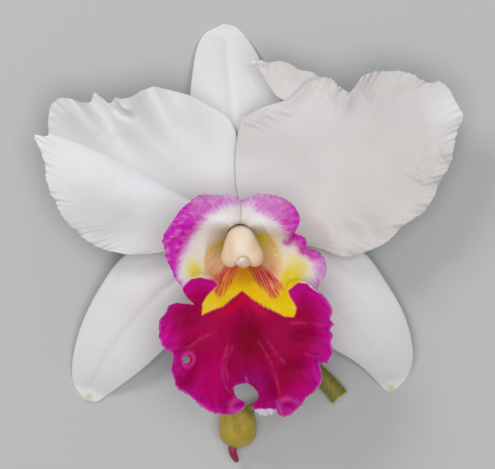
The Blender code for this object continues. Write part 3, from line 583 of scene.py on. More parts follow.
def soften(curve, width):
    """The curve with its waves averaged away over a share of its length, its two ends held."""
    count = len(curve)
    if width * count < 0.05:
        return curve
    reach = count - 1
    before = 2 * curve[0] - curve[reach:0:-1]
    after = 2 * curve[-1] - curve[-2 :: -1][:reach]
    padded = np.concatenate([before, curve, after])
    offsets = np.arange(count)[:, None] + reach - np.arange(len(padded))[None, :]
    weights = np.exp(-0.5 * (offsets / (width * count)) ** 2)
    weights /= weights.sum(axis=1, keepdims=True)
    return weights @ padded


def bezier(a, b, c, d, t):
    return (1 - t) ** 3 * a + 3 * t * (1 - t) ** 2 * b + 3 * t**2 * (1 - t) * c + t**3 * d


def claw(start_angle, end_angle, height, count):
    """The narrow foot of a blade: an arc round the ovary's rim."""
    angles = np.radians(np.linspace(start_angle, end_angle, count))
    heights = np.full(count, height)
    return np.stack([CLAW_RADIUS * np.cos(angles), CLAW_RADIUS * np.sin(angles), heights], axis=1)


def row_shares(rows):
    """Places of the rows between foot and margin, closer together towards the margin."""
    return 1 - (1 - np.linspace(0, 1, rows + 1)) ** ROW_CROWDING


def petal_points(margin, foot_angles, arch, rows, steps):
    """A fan of ribs from the claw out to a ruffled margin, whose waves die away inwards."""
    edge = smooth_curve(margin, steps)
    foot = claw(*foot_angles, PETAL_HEIGHT, len(edge))
    outline = soften(edge, PETAL_SOFTNESS)
    lengths = np.linalg.norm(outline - foot, axis=1)
    swell = np.outer(np.minimum(lengths / ARCH_REACH, 1), (0, 0, arch))
    grid = []
    for t in row_shares(rows):
        rim = soften(edge, PETAL_SOFTNESS * (1 - t) ** WAVE_DEPTH)
        inner = foot + (outline - foot) / 3 + swell / 2
        outer = foot + (outline - foot) * 2 / 3 + swell
        grid.append(bezier(foot, inner, outer, rim, t))
    return np.array(grid)


def raise_crest(points, normals, line, rise, near, far=None):
    """Lifts a crest along a line in plan, by its slopes right and left of it; one slope makes it round."""
    far, power = (near, 2) if far is None else (far, 1)
    line = np.array(line, float)
    plan = points[:, :, :2]
    distances = []
    lifts = []
    for i, (start, end) in enumerate(zip(line, line[1:])):
        span = end - start
        length = np.linalg.norm(span)
        along = span / length
        offset = plan - start
        held = np.clip(offset @ along, 0, length)
        side = offset @ np.array((-along[1], along[0]))
        distance = np.linalg.norm(offset - held[..., None] * along, axis=2)
        share = (i + held / length) / (len(line) - 1)
        height = rise * np.sin(np.pi * (CREST_END + share * (1 - 2 * CREST_END))) ** CREST_FULLNESS
        slope = far + (near - far) * (1 - side / np.maximum(distance, 1e-6)) / 2
        distances.append(distance)
        lifts.append(height * np.exp(-((distance / slope) ** power)))
    weights = np.exp((np.min(distances, axis=0) - distances) / CREST_BLEND)
    lift = np.sum(weights * lifts, axis=0) / np.sum(weights, axis=0)
    return points + normals * lift[..., None]


def edge_distance(points):
    """How far each grid point lies from its rib's end at the margin, in millimetres."""
    return np.linalg.norm(points - points[-1][None], axis=2)


def ruffle(points, normals, depth, reach, lengths, push, seed, strengths):
    """Fine frills square to the margin, as strong as given at its numbered points; they notch it a little."""
    chance = np.random.default_rng(seed)
    edge = points[-1]
    run = running_length(edge)
    wave = np.zeros(len(run))
    for length in chance.uniform(*lengths, FRILL_WAVES):
        beat = 0.5 + 0.5 * np.sin(run / (length * chance.uniform(2, 5)) + chance.uniform(0, 7))
        wave += beat * np.sin(2 * np.pi * run / length + chance.uniform(0, 7))
    numbers, levels = zip(*strengths)
    level = np.interp(np.linspace(0, numbers[-1], len(run)), numbers, levels)
    fade = np.exp(-((edge_distance(points) / reach) ** FRILL_FADE))
    lift = depth * (wave * level)[None] * fade
    outward = edge - points[-2]
    outward[:, 2] = 0
    outward /= np.linalg.norm(outward, axis=1, keepdims=True) + 1e-9
    scallop = push * level * np.minimum(np.abs(np.roll(wave, FRILL_LAG)) - SCALLOP_START, 0)
    return points + normals * lift[..., None] + outward[None] * (scallop[None] * fade)[..., None]


def thinning(points, thickness, edge, reach):
    """Blade thickness that falls from full to that of the margin over the last stretch."""
    return edge + (thickness - edge) * np.minimum(1, edge_distance(points) / reach)


def margin_distance(spots, margin):
    """How far each place lies from the margin, in millimetres."""
    nearest = np.full(len(spots), np.inf)
    for start, end in zip(margin, margin[1:]):
        span = end - start
        offset = spots - start
        held = np.clip(offset @ span / (span @ span), 0, 1)
        nearest = np.minimum(nearest, np.linalg.norm(offset - held[:, None] * span, axis=1))
    return nearest


def inside(spots, outline, softness):
    """1 well inside an outline in plan, 0 well outside, and smooth over the softness on either side of it."""
    plan = spots[:, :2]
    corners = np.array([*outline, outline[0]], float)
    nearest = margin_distance(plan, corners)
    odd = np.zeros(len(plan), bool)
    for start, end in zip(corners, corners[1:]):
        span = end - start
        crosses = (start[1] > plan[:, 1]) != (end[1] > plan[:, 1])
        where = start[0] + (plan[:, 1] - start[1]) * span[0] / (span[1] if span[1] else 1e-9)
        odd ^= crosses & (plan[:, 0] < where)
    share = np.clip(np.where(odd, nearest, -nearest) / (2 * softness) + 0.5, 0, 1)
    return share * share * (3 - 2 * share)


LEFT_PETAL_FRILLS = [
    (0, 0), (5, 0.1), (9, 0.6), (20, 0.8), (25, 0.9), (27, 1.6), (29, 2.3), (33, 2.3), (35, 1.6), (37, 0.9),
    (40, 0.1),
]
RIGHT_PETAL_FRILLS = [
    (0, 0), (7, 0.1), (10, 0.5), (15, 0.8), (18, 1.5), (21, 1.5), (23, 1.4), (30, 1.4), (32, 1.8), (38, 1.8),
    (41, 1), (43, 0.5), (46, 0.1),
]
LEFT_PETAL_CRESTS = [
    (CREASE, -2.8, 9, 2.2),
    ([(-47, 47), (-43, 42), (-38, 37), (-28, 29)], 1.6, 5),
    ([(-54, 48), (-50.5, 43), (-45, 37), (-36, 29)], -1.6, 5),
    ([(-63, 49), (-59, 43), (-53, 37)], 1.6, 4.5),
    ([(-33, 53), (-31, 44), (-26, 32)], -1.4, 7),
    ([(-46, 51), (-43.6, 47.6), (-40, 45.8)], 2.4, 0.9, 1.8),
    ([(-47, 47.6), (-44.2, 45), (-41, 43.6)], -1.6, 1.4),
    ([(-57, 2), (-50, 8), (-40, 12)], 1.2, 5),
    ([(-68, 22), (-58, 22), (-46, 20)], 1.2, 5),
]
RIGHT_PETAL_CRESTS = [
    ([(9, 48.4), (14.2, 49), (18.5, 50.3), (20.9, 52.4), (22.8, 54.2), (24.9, 56.6), (27.2, 57.9), (31, 59)],
     3.4, 8, 0.9),
    ([(1.2, 42.5), (5, 41.4), (9, 39.4)], 0.8, 0.5, 0.8),
    ([(2.7, 43.6), (6.6, 42.7), (10.4, 41.2)], 0.9, 0.5, 0.8),
    ([(5, 44.8), (8.4, 42.8)], 0.6, 0.5, 0.7),
    ([(7.7, 45.8), (10.8, 44.8), (13.6, 43.2)], 0.9, 0.5, 0.8),
    ([(10.7, 47), (13.4, 45.8)], 0.7, 0.5, 0.7),
    ([(14.4, 46.9), (19, 45)], 0.7, 0.6, 1),
    ([(2.6, 63.9), (5.6, 64.8), (8.4, 64.8), (11, 64.1)], 2.2, 1.6),
    ([(22.4, 60), (19.6, 58.4), (16.4, 57.6)], 0.8, 0.7, 1.2),
    ([(36.3, 56.4), (37, 52.4), (36.4, 48.6)], 1.1, 1.2, 2),
    ([(41.4, 54.2), (40.2, 50.8), (40.6, 47)], 1, 1.2, 1.4),
    ([(44.6, 58.6), (46.6, 55), (49, 50.6)], 1.6, 1, 2.4),
    ([(60.8, 61), (60.6, 57), (59.4, 52.6)], 1, 1.2, 1.8),
    ([(63, 23.2), (67.6, 20.6), (73.2, 17.6)], 1.1, 0.9, 1.4),
    ([(66.2, 26.6), (70, 23.2), (74.2, 20.6)], 0.9, 0.8, 1.2),
    ([(74.6, 30.4), (77, 27), (79.2, 25.2)], 1, 0.9, 1.2),
    ([(73.4, 33), (74.4, 29), (77.6, 23.9)], 0.8, 0.8, 1.2),
    ([(72.4, 57), (70.4, 49), (72, 41), (77, 35)], -1.6, 6),
    ([(33, 54), (27, 48), (20, 38)], -1.2, 7),
    ([(54, 52), (48, 42), (36, 30)], -1.6, 10),
    ([(35, -3), (33, 4), (26, 8)], 1.4, 4),
    ([(50, -3), (47, 4), (38, 9)], 1.6, 4),
]
PETALS = {
    "petal_left": {
        "margin": LEFT_PETAL_MARGIN, "claw": (123, 192), "arch": 2.4, "seed": 3,
        "crests": LEFT_PETAL_CRESTS, "frills": LEFT_PETAL_FRILLS,
        "tints": ((0.68, 0.68, 0.69), (0.62, 0.625, 0.635)),
        # Ovals of painted light and painted shade: paler round the lip's foot, along the lit side of the
        # crease and on lit bulges, darker where the blade lies in shade.
        "light": [(-66, 32, 9, 6), (-54, 25, 11, 7), (-38, 18, 11, 6), (-8, 36, 8, 16, 0.8),
                  (-5, 18, 15, 10)],
        "painted_shade": [(-57, 9, 15, 10, 1), (-43, 3, 14, 7, 0.8), (-32, 42, 14, 9, 0.45), (-14, 40, 8, 12, 0.3),
                 (-62, 44, 9, 6, 0.5)],
    },
    "petal_right": {
        "margin": RIGHT_PETAL_MARGIN, "claw": (72, -2), "arch": 2.6, "seed": 4,
        "crests": RIGHT_PETAL_CRESTS, "frills": RIGHT_PETAL_FRILLS,
        # The right petal's tints are darker than the left's: painted shade over its whole blade, and its
        # ovals are painted light on the lit bulge, the curl and round the lip, painted shade elsewhere.
        "tints": ((0.565, 0.54, 0.53), (0.535, 0.505, 0.495)),
        "light": [(77, 46, 8, 9), (20, 47, 14, 9, 0.4), (6.8, 63.8, 5, 3), (3, 18, 17, 10)],
        "painted_shade": [(58, 50, 14, 12, 0.6), (34, 40, 14, 12, 0.3), (62, 22, 12, 10, 0.3)],
    },
}


def prism(name, outline, low, high, material):
    """An upright cutter with the given outline in plan."""
    bm = bmesh.new()
    face = bm.faces.new([bm.verts.new((x, y, low)) for x, y in outline])
    sides = bmesh.ops.extrude_face_region(bm, geom=[face], use_keep_orig=True)
    for item in sides["geom"]:
        if isinstance(item, bmesh.types.BMVert):
            item.co.z = high
    bmesh.ops.recalc_face_normals(bm, faces=bm.faces[:])
    return place_piece(name, bm, material)


for part, given in PETALS.items():
    petal_skin = tepal_skin(part.replace("_", " ") + " skin", 26, *given["tints"])
    points = petal_points(given["margin"], given["claw"], given["arch"], PETAL_ROWS, PETAL_STEPS)
    up = upright(points)
    for line, *slopes in given["crests"]:
        points = raise_crest(points, up, line, *slopes)
    points = ruffle(
        points, up, depth=0.2, reach=4.5, lengths=(1.8, 4.5), push=0.32, seed=given["seed"],
        strengths=given["frills"],
    )
    depths = thinning(points, PETAL_THICKNESS, PETAL_EDGE, PETAL_THINNING)
    petal = blade("white_" + part, points, up, depths, petal_skin)
    if part == "petal_right":
        combine(petal, [prism("notch", NOTCH, *NOTCH_HEIGHTS, petal_skin)], "DIFFERENCE")
    spots = positions(petal)
    set_mask(petal, "warm", np.exp(-np.hypot(spots[:, 0], spots[:, 1]) / 7))
    # Painted light and painted shade from the ovals; the left petal also gets a strip of painted light on the
    # lit side below its crease and a band of painted shade on the shaded side above it.
    light = ovals(spots, *given["light"])
    painted_shade = ovals(spots, *given["painted_shade"])
    if part == "petal_left":
        reach = margin_distance(spots[:, :2], smooth_curve(CREASE, LINE_STEPS))
        below = inside(spots, [*CREASE, (-100, 44), (-100, -40), (-4, -40), (-4, 6)], 0.4)
        light = np.maximum(light, np.exp(-((reach / 7) ** 2)) * below)
        painted_shade = np.clip(painted_shade + 0.9 * np.exp(-reach / 3.5) * (1 - below), 0, 1)
    set_mask(petal, "light", light)
    set_mask(petal, "painted_shade", painted_shade)
    dress(petal, part)

# Column
# The cream hooded column in the lip's throat, a fleshy rod that widens into a hood over the anther cap.
# It stands on the ovary's top inside the lip's tube.
COLUMN = [
    (0, 0, 20 + CLEARANCE, 3.6, 3.6), (0, 0.2, 26, 3.5, 3.2), (0, 0.2, 33, 3.5, 3.2),
    (0, 0.4, 39.2, 3.7, 3.3), (0.3, -0.7, 43.8, 5.4, 4.2), (0.6, -4.9, 45.4, 7.1, 3.3),
    (0.9, -7.7, 45.2, 7.4, 2.4), (1, -9.6, 44.7, 5.4, 1.4), (1, -10.8, 44.4, 3.4, 0.9),
]
SHOULDERS = [(-3.7, -8, 45.1), (5.5, -7.8, 44.9)]
SHOULDER_RADII = (3.4, 4.1, 2.7)
SEAT_END = (1, -11.3, 44.2, 3.4, 0.9)
CAP_CENTRE = (1.2, -9.8, 47.1)
CAP_RADII = (2.7, 2.3, 2.2)
CAP_WALL = 0.7
COLUMN_SMOOTHINGS = 6 * FINE
FLANK_START = 1.8
FLANK_FADE = 2.4


def waxy_skin(name, light, deep, cloud_scale, roughness):
    """Waxy fleshy tissue with soft clouds of a deeper colour."""
    material, tree, shader = new_material(name)
    place = object_place(tree)
    clouds = noise(place, cloud_scale)
    colour = tint(ramp(clouds, 0.35, 0.7), light, deep)
    feed(shader, Base_Color=colour, Roughness=ramp(clouds, 0.3, 0.7, roughness, roughness + 0.1))
    feed(shader, Subsurface_Weight=0.25, Subsurface_Radius=(1, 0.7, 0.4), Subsurface_Scale=0.001)
    feed(shader, Specular_IOR_Level=0.25)
    bump(shader, noise(place, 3500, 2), 0.4, 0.00008)
    return material, tree, shader, colour


column_skin, tree, shader, colour = waxy_skin("column skin", (0.74, 0.64, 0.49), (0.77, 0.68, 0.55), 200, 0.4)
# Darker tan flanks: partly the column's own tan, partly painted shade on its rounded sides.
feed(shader, Base_Color=tint(mask(tree, "flank"), colour, (0.68, 0.50, 0.34)))


def ellipsoid(centre, radii, rings, sides, shape=None):
    bm = bmesh.new()
    bmesh.ops.create_uvsphere(bm, u_segments=sides, v_segments=rings, radius=1)
    if shape:
        for vert in bm.verts:
            vert.co = shape(vert.co)
    bmesh.ops.scale(bm, verts=bm.verts, vec=radii)
    bmesh.ops.translate(bm, verts=bm.verts, vec=centre)
    return bm


def column_piece(name, stations, grow=0):
    """The rod with its two rounded shoulders, or the same grown a little all round."""
    rod = place_piece(name, sweep(stations, 24 * FINE, 8, grow), column_skin)
    radii = [radius + grow for radius in SHOULDER_RADII]
    rounds = [ellipsoid(centre, radii, 16 * FINE, 24 * FINE) for centre in SHOULDERS]
    shoulders = [place_piece("shoulder", bm, column_skin) for bm in rounds]
    return combine(rod, shoulders, "UNION")


column = column_piece("cream_column", COLUMN)
bm = bmesh.new()
bm.from_mesh(column.data)
for _ in range(COLUMN_SMOOTHINGS):
    bmesh.ops.smooth_vert(bm, verts=bm.verts, factor=0.5, use_axis_x=True, use_axis_y=True, use_axis_z=True)
bm.to_mesh(column.data)
bm.free()
spots = positions(column)
# The flank mask: darker tan on the sides, partly the column's own tan, partly painted shade.
flanks = np.clip((np.abs(spots[:, 0] - 1) - FLANK_START) / FLANK_FADE, 0, 1)
set_mask(column, "flank", flanks * np.clip((4 - spots[:, 1]) / 6, 0, 1))
dress(column, "column")

# Anther cap
# The small loose cap at the column's tip, waxy and cream with faint purple marks, hollow over the pollinia.
# It sits on the column's hood by its rim.
cap_skin, tree, shader, colour = waxy_skin("cap skin", (0.60, 0.42, 0.28), (0.78, 0.68, 0.60), 500, 0.5)
marks = times(ramp(noise(object_place(tree), 900, 2), 0.62, 0.68), 0.4)
feed(shader, Base_Color=tint(marks, colour, (0.50, 0.28, 0.33)))

cap = place_piece("waxy_cap", ellipsoid(CAP_CENTRE, CAP_RADII, 16 * FINE, 24 * FINE), cap_skin)
seat = column_piece("cap_seat", [*COLUMN, SEAT_END], CLEARANCE)
hollow_radii = [radius - CAP_WALL for radius in CAP_RADII]
hollow = place_piece("cap_hollow", ellipsoid(CAP_CENTRE, hollow_radii, 12 * FINE, 16 * FINE), cap_skin)
combine(cap, [seat, hollow], "DIFFERENCE")
cap.data.set_sharp_from_angle(angle=SHARP)
dress(cap, "anther_cap")

# Pollinia
# The yellow waxy pollen masses under the cap, which a bee carries off. They lie on the column inside the cap.
pollen_skin = waxy_skin("pollen wax", (0.80, 0.55, 0.08), (0.90, 0.68, 0.18), 900, 0.4)[0]
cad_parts["pollinia"].material_slots[0].material = pollen_skin

# Lip
# The frilled third petal: a tube round the column that opens into two side lobes and a broad skirt, velvety
# magenta with a yellow patch and a pale throat. It is one blade, and stands on the ovary's top by its foot.
LIP_ROWS = 46 * FINE
LIP_STEPS = 3 * FINE
LIP_THICKNESS = 0.8
LIP_EDGE = 0.4
LIP_THINNING = 10.0
LIP_SOFTNESS = 0.05
LIP_FOOT_RADIUS = 4.4
LIP_FOOT_HEIGHT = 20 + 2 * CLEARANCE
LIP_CENTRE = (0.5, -4)
TUBE_SIDE = (5.2, 13)
TUBE_FRONT = (8.8, 19.5)
TUBE_BACK = (-0.5, 29)
FLARE_SIDE = (0.68, 43)
FLARE_FRONT = (0.52, 57)
FLARE_BACK = (-0.23, 51)
BACK_REACH = 0.75
KEYHOLE = [
    (-2.2, -55.9), (-1.3, -55.2), (0.7, -54.7), (2.8, -54.5), (4.9, -55.8), (6.5, -57.7), (6.9, -59.5),
    (6.3, -61), (4.9, -62.2), (3.8, -63.1), (2.7, -62.5), (1.4, -61.2), (-0.9, -60), (-2, -58.3),
]
EYELET = [
    (-19.6 + 1.3 * math.cos(turn), -45.6 + 1.4 * math.sin(turn))
    for turn in np.linspace(0, 2 * math.pi, 17)[:-1]
]
PUNCH_HEIGHTS = (28, 60)
LEFT_SINUS = [
    (-29, -12.4), (-25.2, -13.8), (-23.4, -16.3), (-21.3, -18.9), (-20.8, -20.5), (-19.2, -23),
    (-16.9, -25.2), (-20.5, -25.1), (-23.1, -24.7), (-26.1, -25.7), (-29, -26.6),
]
LEFT_EAR = [
    (-20.8, -19.6), (-19.6, -17.7), (-18.2, -16.4), (-16.9, -15.7), (-15.4, -15.4), (-12.8, -15.6),
    (-10.2, -16.4), (-8, -18.4),
]
RIGHT_EAR = [
    (17.4, -21.6), (18.2, -19.5), (19.5, -18), (21.2, -17.2), (23, -17.1), (24.9, -17.7), (26.7, -18.6),
    (28.6, -19.8),
]
EAR_RISE = 3.6
EAR_SLOPES = (5, 0.8)
LIP_FOLDS = [
    ([(-27, -34.5), (-20, -34.6), (-14, -33.4)], -1.4, 3),
    ([(-27.4, -42.2), (-22, -40.8), (-18.3, -38.2), (-15.4, -36.4)], 1.9, 1, 4),
    ([(-11.7, -43), (-14.7, -50.3), (-16.1, -58)], -1.3, 3),
    ([(-20, -50), (-21.5, -56)], 0.9, 2.5),
    ([(5.6, -36), (8.4, -44), (11.2, -53), (13.2, -62)], -1.5, 2.6),
    ([(-4.5, -40), (-6.5, -48), (-8, -58)], 1, 3),
    ([(24.7, -31.6), (28.7, -32.3), (33.6, -34.4)], 1, 0.8, 2.4),
    ([(18.6, -35.8), (27, -37.6), (34, -39.3)], -1.4, 2.6),
    ([(21.5, -41), (26.5, -43), (30.2, -43), (32.6, -44.7)], 1.8, 1, 3.6),
    ([(29, -47.6), (23.9, -49.6), (17.5, -48.9)], -1.4, 3),
    ([(2, -22), (1.9, -30), (1.9, -42)], -1.6, 3.4),
    ([(-6, -26), (-5, -34), (-3, -44)], 0.8, 3),
    ([(9.5, -26), (8.6, -34), (6, -42)], 0.8, 3),
    ([(20.6, 0.2), (18.4, -1.4), (15.6, -2.6)], -1.8, 0.9, 1.4),
    ([(2.6, 11), (8.1, 5.5), (12.2, -0.7), (14.7, -5.5), (15.8, -11)], 1, 1.4, 2.4),
    ([(-2.5, 8.5), (-10.2, 3.7), (-12.8, -1.8), (-13.6, -9.9), (-12.5, -14.7)], 0.8, 2.4, 1.4),
    ([(-17.9, -44.5), (-19.6, -43.6), (-21.5, -44.8), (-21.6, -46.7), (-20.1, -47.8), (-18.1, -46.8)],
     1, 0.7, 0.8),
    ([(2.2, -60.5), (-0.7, -61.2), (-3.3, -62.6), (-3.7, -64.8), (-1.2, -65.8)], 1.4, 1.4, 0.9),
    ([(1.4, -62.8), (-1.2, -63.8)], -1, 1.2),
    ([(14, -61.2), (18.5, -60.4), (22.4, -62.2)], 1.4, 0.9, 2),
    ([(16.4, -63.8), (20.8, -63.9)], -1, 1.3),
    ([(13.6, -61.5), (14.4, -66)], 1, 0.8),
    ([(2.1, -51.8), (3, -54.6)], 0.7, 0.5, 0.7),
    ([(-4.4, -41), (-6.4, -47.6), (-5.4, -55), (-1.8, -60.4)], 1.3, 1, 2.4),
    ([(6.4, -38), (10.2, -47.6), (13.4, -55.4), (14.2, -62)], 1.3, 2.4, 1),
    ([(-26.5, -53), (-20.5, -57.6), (-15.6, -61.6), (-9.4, -63.8), (-3, -64.2)], -1, 1.8),
    ([(18.4, -2.6), (21.6, -2.4), (23.6, -4.4), (24, -7.6)], 1.3, 0.9, 1.2),
    ([(24.6, -12.6), (28.2, -11), (30.4, -12.6)], 0.8, 0.8, 1.2),
    ([(28.6, -19), (29.6, -16.2), (28, -14.2)], -1.2, 1),
]
LIP_MARGIN = [
    (0.72, 12.6, 43.9), (-1.8, 14.4, 44.4), (-4.4, 15.3, 46), (-7.3, 14.7, 45), (-11, 14.9, 47),
    (-14.2, 14.9, 46), (-16.7, 13.7, 48), (-19, 11.7, 46.4), (-21.4, 9.7, 48.4), (-22.9, 7.7, 47),
    (-25.1, 4.2, 49), (-26.7, 2, 47.4), (-28.2, -1.8, 49.4), (-27.4, -5, 47.4), (-26.8, -8.4, 48.6),
    (-25.8, -11.2, 46.6), (-24.5, -13.8, 47.2), (-24.2, -16.8, 46.2), (-24.4, -20, 47.6), (-25.2, -23.4, 49),
    (-26.6, -26.8, 49.6), (-27.4, -28.9, 48), (-29.4, -31, 49.4), (-29.8, -34.5, 47.4), (-29.2, -38.6, 48.2),
    (-27.4, -41.8, 45.4), (-24.8, -43.4, 43.4), (-24.8, -46.5, 43.2), (-25.4, -49.6, 44.2), (-24.4, -53, 42),
    (-23.4, -56.4, 42.8), (-20.4, -58.8, 40), (-17.6, -60.8, 40.6), (-14.6, -63.6, 38), (-10, -65.9, 38.6),
    (-4.8, -66.4, 36), (-0.8, -65.8, 36.6), (1.6, -64.2, 37.4), (2.5, -62, 37.6), (3.2, -58.8, 37.8),
    (4.2, -62.4, 37.2), (5.3, -65, 37.4), (8.1, -66.7, 38.4), (12.4, -66.2, 36.4), (13.6, -64.6, 35.8),
    (14.6, -66.9, 37.2), (18.6, -66.6, 39), (22.4, -63.2, 38.2), (24.6, -60, 40.6), (28, -57.4, 40),
    (30, -54, 42.4), (30.2, -50.4, 41.6), (29.4, -47.4, 42.6), (32, -47, 44.4), (34, -42.4, 44.4),
    (33.6, -39.2, 46.2), (34.2, -36.6, 45.4), (33, -34.6, 46.4), (34.4, -32.6, 48), (33, -30.8, 47.2),
    (34, -28.2, 49.2), (32.6, -24.6, 49), (30.6, -22, 48.6), (28.4, -19.9, 46.4), (29.6, -17.4, 45),
    (31.2, -15, 46), (31.8, -12.4, 47.2), (30.8, -8.4, 46.2), (28.2, -5.8, 48.4), (24.5, -4.4, 47),
    (24.4, -2.3, 48.4), (22.7, -0.3, 47), (20, 0.1, 45.8), (20.6, 1.7, 46.4), (21.6, 3.6, 48.6),
    (22.2, 6.3, 47), (21, 9, 48.8), (18.9, 11.7, 47.2), (15.4, 13.8, 48.2), (11.3, 14.9, 46.2),
    (7.3, 15.2, 47), (4.2, 14.7, 45.8), (0.8, 12.7, 44.9),
]
SKIRT = [
    (-29.2, -28.2), (-26.3, -25.6), (-23.1, -24.7), (-17, -25.3), (-19.2, -23.2), (-20.7, -21.3),
    (-21, -19.5), (-20.5, -18.5), (-17.9, -16.1), (-14.6, -15.5), (-10.2, -16.5), (-8, -18.1), (-10.2, -20.5),
    (-12.4, -22.7), (-13.7, -24.9), (-13.9, -29.3), (-6.5, -26.2), (0.8, -20.5), (8.1, -25.8), (16.5, -29.8),
    (19.8, -30), (20.9, -26.7), (18.4, -22.7), (17.6, -20.5), (19.5, -18.9), (21.3, -17.3), (24.5, -17.6),
    (25.7, -18.9), (27.5, -20.5), (31.2, -22.3), (42, -24), (42, -76), (-38, -76), (-38, -30),
]
YELLOW = [
    (0.8, -25), (-6.6, -30), (-14, -33.5), (-17.5, -31), (-17, -26), (-14, -22.5), (-10.6, -20.4),
    (-8, -19.2), (-5.1, -15.8), (-2.5, -12.1), (-1.4, -9.9), (3.7, -9.9), (4.8, -12.1), (8.1, -16.5),
    (11.8, -20.2), (13.6, -18.6), (15.6, -16.8), (19.5, -15.8), (22.5, -18), (24.5, -26), (24, -33),
    (16.6, -34), (8.1, -30),
]
LEFT_WALL = [
    (-4.4, -0.4), (-7.7, -1.5), (-11.4, -3.7), (-13.2, -7.3), (-13.4, -11.4), (-12.5, -15.4), (-9.9, -19.1),
    (-7.3, -20.2), (-3.6, -18), (-0.7, -9.9),
]
RIGHT_WALL = [
    (4.5, -0.4), (8.1, 1.5), (11.8, -0.4), (14.8, -4.4), (15.9, -8.4), (15.9, -12.9), (14.8, -17.6),
    (12.9, -20.2), (10.3, -19.5), (6.7, -14.7), (1.9, -9.9),
]
PALE_LOBES = [
    (-1.4, 11.2), (-5.3, 10.6), (-8.8, 9.4), (-11.5, 7.7), (-13.7, 5.5), (-15.6, 2.7), (-17.8, -0.3),
    (-19.3, -3), (-20.7, -6), (-21.6, -8.6), (-22, -9.9), (-22.4, -12.8), (-22.2, -15.8), (-20.9, -17.6),
    (-19, -36), (0, -36), (23, -36), (26.6, -17.6), (28.2, -15.1), (28, -12.3), (27.2, -9.6), (25.2, -7.4),
    (22.8, -6), (20.8, -3.8), (18.8, -2.2), (17.6, -0.7), (16.4, 1.6), (14.5, 4.1), (12, 6.3), (9.2, 7.9),
    (6.3, 9.5), (2.6, 11.6),
]
RED_STRIPES = [
    ([(-2.4, -11.4), (-4.2, -15), (-7.4, -20.2)], 2), ([(-4, -12), (-10.4, -18.4)], 1.6),
    ([(4.2, -11), (7.6, -16.4), (12.6, -21.6)], 1.6), ([(6, -11.4), (14.2, -19.2)], 1.6),
]
RED_EDGE = [
    (-10.3, -30.8), (-6.6, -29), (-2.9, -26.8), (0, -24.6), (2.2, -22.4), (5.2, -25.2), (8.2, -28),
    (12, -30.4),
]
# Lines of painted highlight along the ridges of the skirt's folds.
FOLD_HIGHLIGHT_LINES = [
    [(-4.4, -40.7), (-6.6, -48.1), (-5.2, -55.5), (-1.8, -60)], [(-2.6, -40.7), (-5.2, -47), (-4.1, -53.7)],
    [(6.7, -38.9), (11.1, -46.3), (14.1, -55.5), (14.5, -61.8)], [(9.7, -38.1), (13.4, -43.3), (16.3, -47)],
    [(18.5, -32.2), (25.2, -32.2), (31.5, -33.3)], [(24, -43.4), (28, -44.6), (30.6, -43.6)],
    [(-25.9, -41.8), (-18.5, -40.7), (-14.8, -38.1), (-9.2, -35.2)],
]
# Painted highlight along the raised ring round the eyelet.
EYELET_RING = [
    (-21, -45.3), (-20.3, -47.8), (-18.8, -48.3), (-17.2, -46.9), (-16.9, -44.4), (-18.2, -43.1),
    (-20, -43.6), (-21, -45.3),
]
LOBE_CURL = [
    (16.6, -2.6), (17.6, -3), (19, -1.7), (21, -0.5), (23, -1.2), (23.5, -3.4), (22.9, -5.9), (25.2, -7.1),
    (27, -8.5), (29, -7.4),
]
# Lines of painted highlight along the keyhole's rim and spur and round the two curled margins.
KEYHOLE_RIM = [(-2.3, -56.6), (-1.4, -55.6), (0.7, -55), (2.6, -54.7)]
RIM_SPUR = [(2.2, -52.2), (3, -55)]
LEFT_CURL = [
    (-3.3, -64.4), (-2.6, -61.5), (0, -60.4), (2.6, -62.2), (1.5, -64.8), (-1.5, -65.5), (-3.3, -64.4),
]
RIGHT_CURL = [
    (14.1, -61.8), (17.1, -60.3), (20.8, -61.5), (22.2, -64), (19.3, -66.3), (15.9, -67), (14.1, -61.8),
]


def sheet_normals(points):
    """Unit normals of a smooth grid, on its upper or outer face."""
    normals = np.cross(np.gradient(points, axis=1), np.gradient(points, axis=0))
    normals /= np.linalg.norm(normals, axis=2, keepdims=True)
    return normals * np.sign(normals[-1, 0, 2])


def lip_points(rows, steps):
    """A sheet from the ring at the column's foot, up a tube and out to the margin; then the same unwaved."""
    edge = smooth_curve(LIP_MARGIN, steps)
    outline = soften(edge, LIP_SOFTNESS)
    headings = np.unwrap(np.arctan2(outline[:, 1] - LIP_CENTRE[1], outline[:, 0] - LIP_CENTRE[0]))
    out = np.stack([np.cos(headings), np.sin(headings), np.zeros(len(edge))], axis=1)
    front = np.clip(-out[:, 1], 0, 1)[:, None] ** 1.5
    foot = out * LIP_FOOT_RADIUS
    foot[:, 2] = LIP_FOOT_HEIGHT
    back = np.clip(out[:, 1] / BACK_REACH, 0, 1)[:, None]
    back = back * back * (3 - 2 * back)
    tube_out, tube_rise, flare_share, flare_height = [
        blend(side, end_front, front) + (end_back - side) * back
        for side, end_front, end_back in zip(
            (*TUBE_SIDE, *FLARE_SIDE), (*TUBE_FRONT, *FLARE_FRONT), (*TUBE_BACK, *FLARE_BACK)
        )
    ]
    tube = foot + out * tube_out + np.array([0, 0, 1]) * tube_rise
    flare = foot + (outline - foot) * flare_share
    flare[:, 2] = flare_height[:, 0]
    grid = []
    smooth = []
    for t in row_shares(rows):
        rim = soften(edge, LIP_SOFTNESS * (1 - t))
        grid.append(bezier(foot, tube, flare, rim, t))
        smooth.append(bezier(foot, tube, flare, outline, t))
    return np.array(grid), np.array(smooth)


def near_line(spots, line, size):
    """1 on a line in plan, fading away over the size."""
    flat = spots[:, :2]
    return np.exp(-((margin_distance(flat, smooth_curve(line, LINE_STEPS)) / size) ** 2))


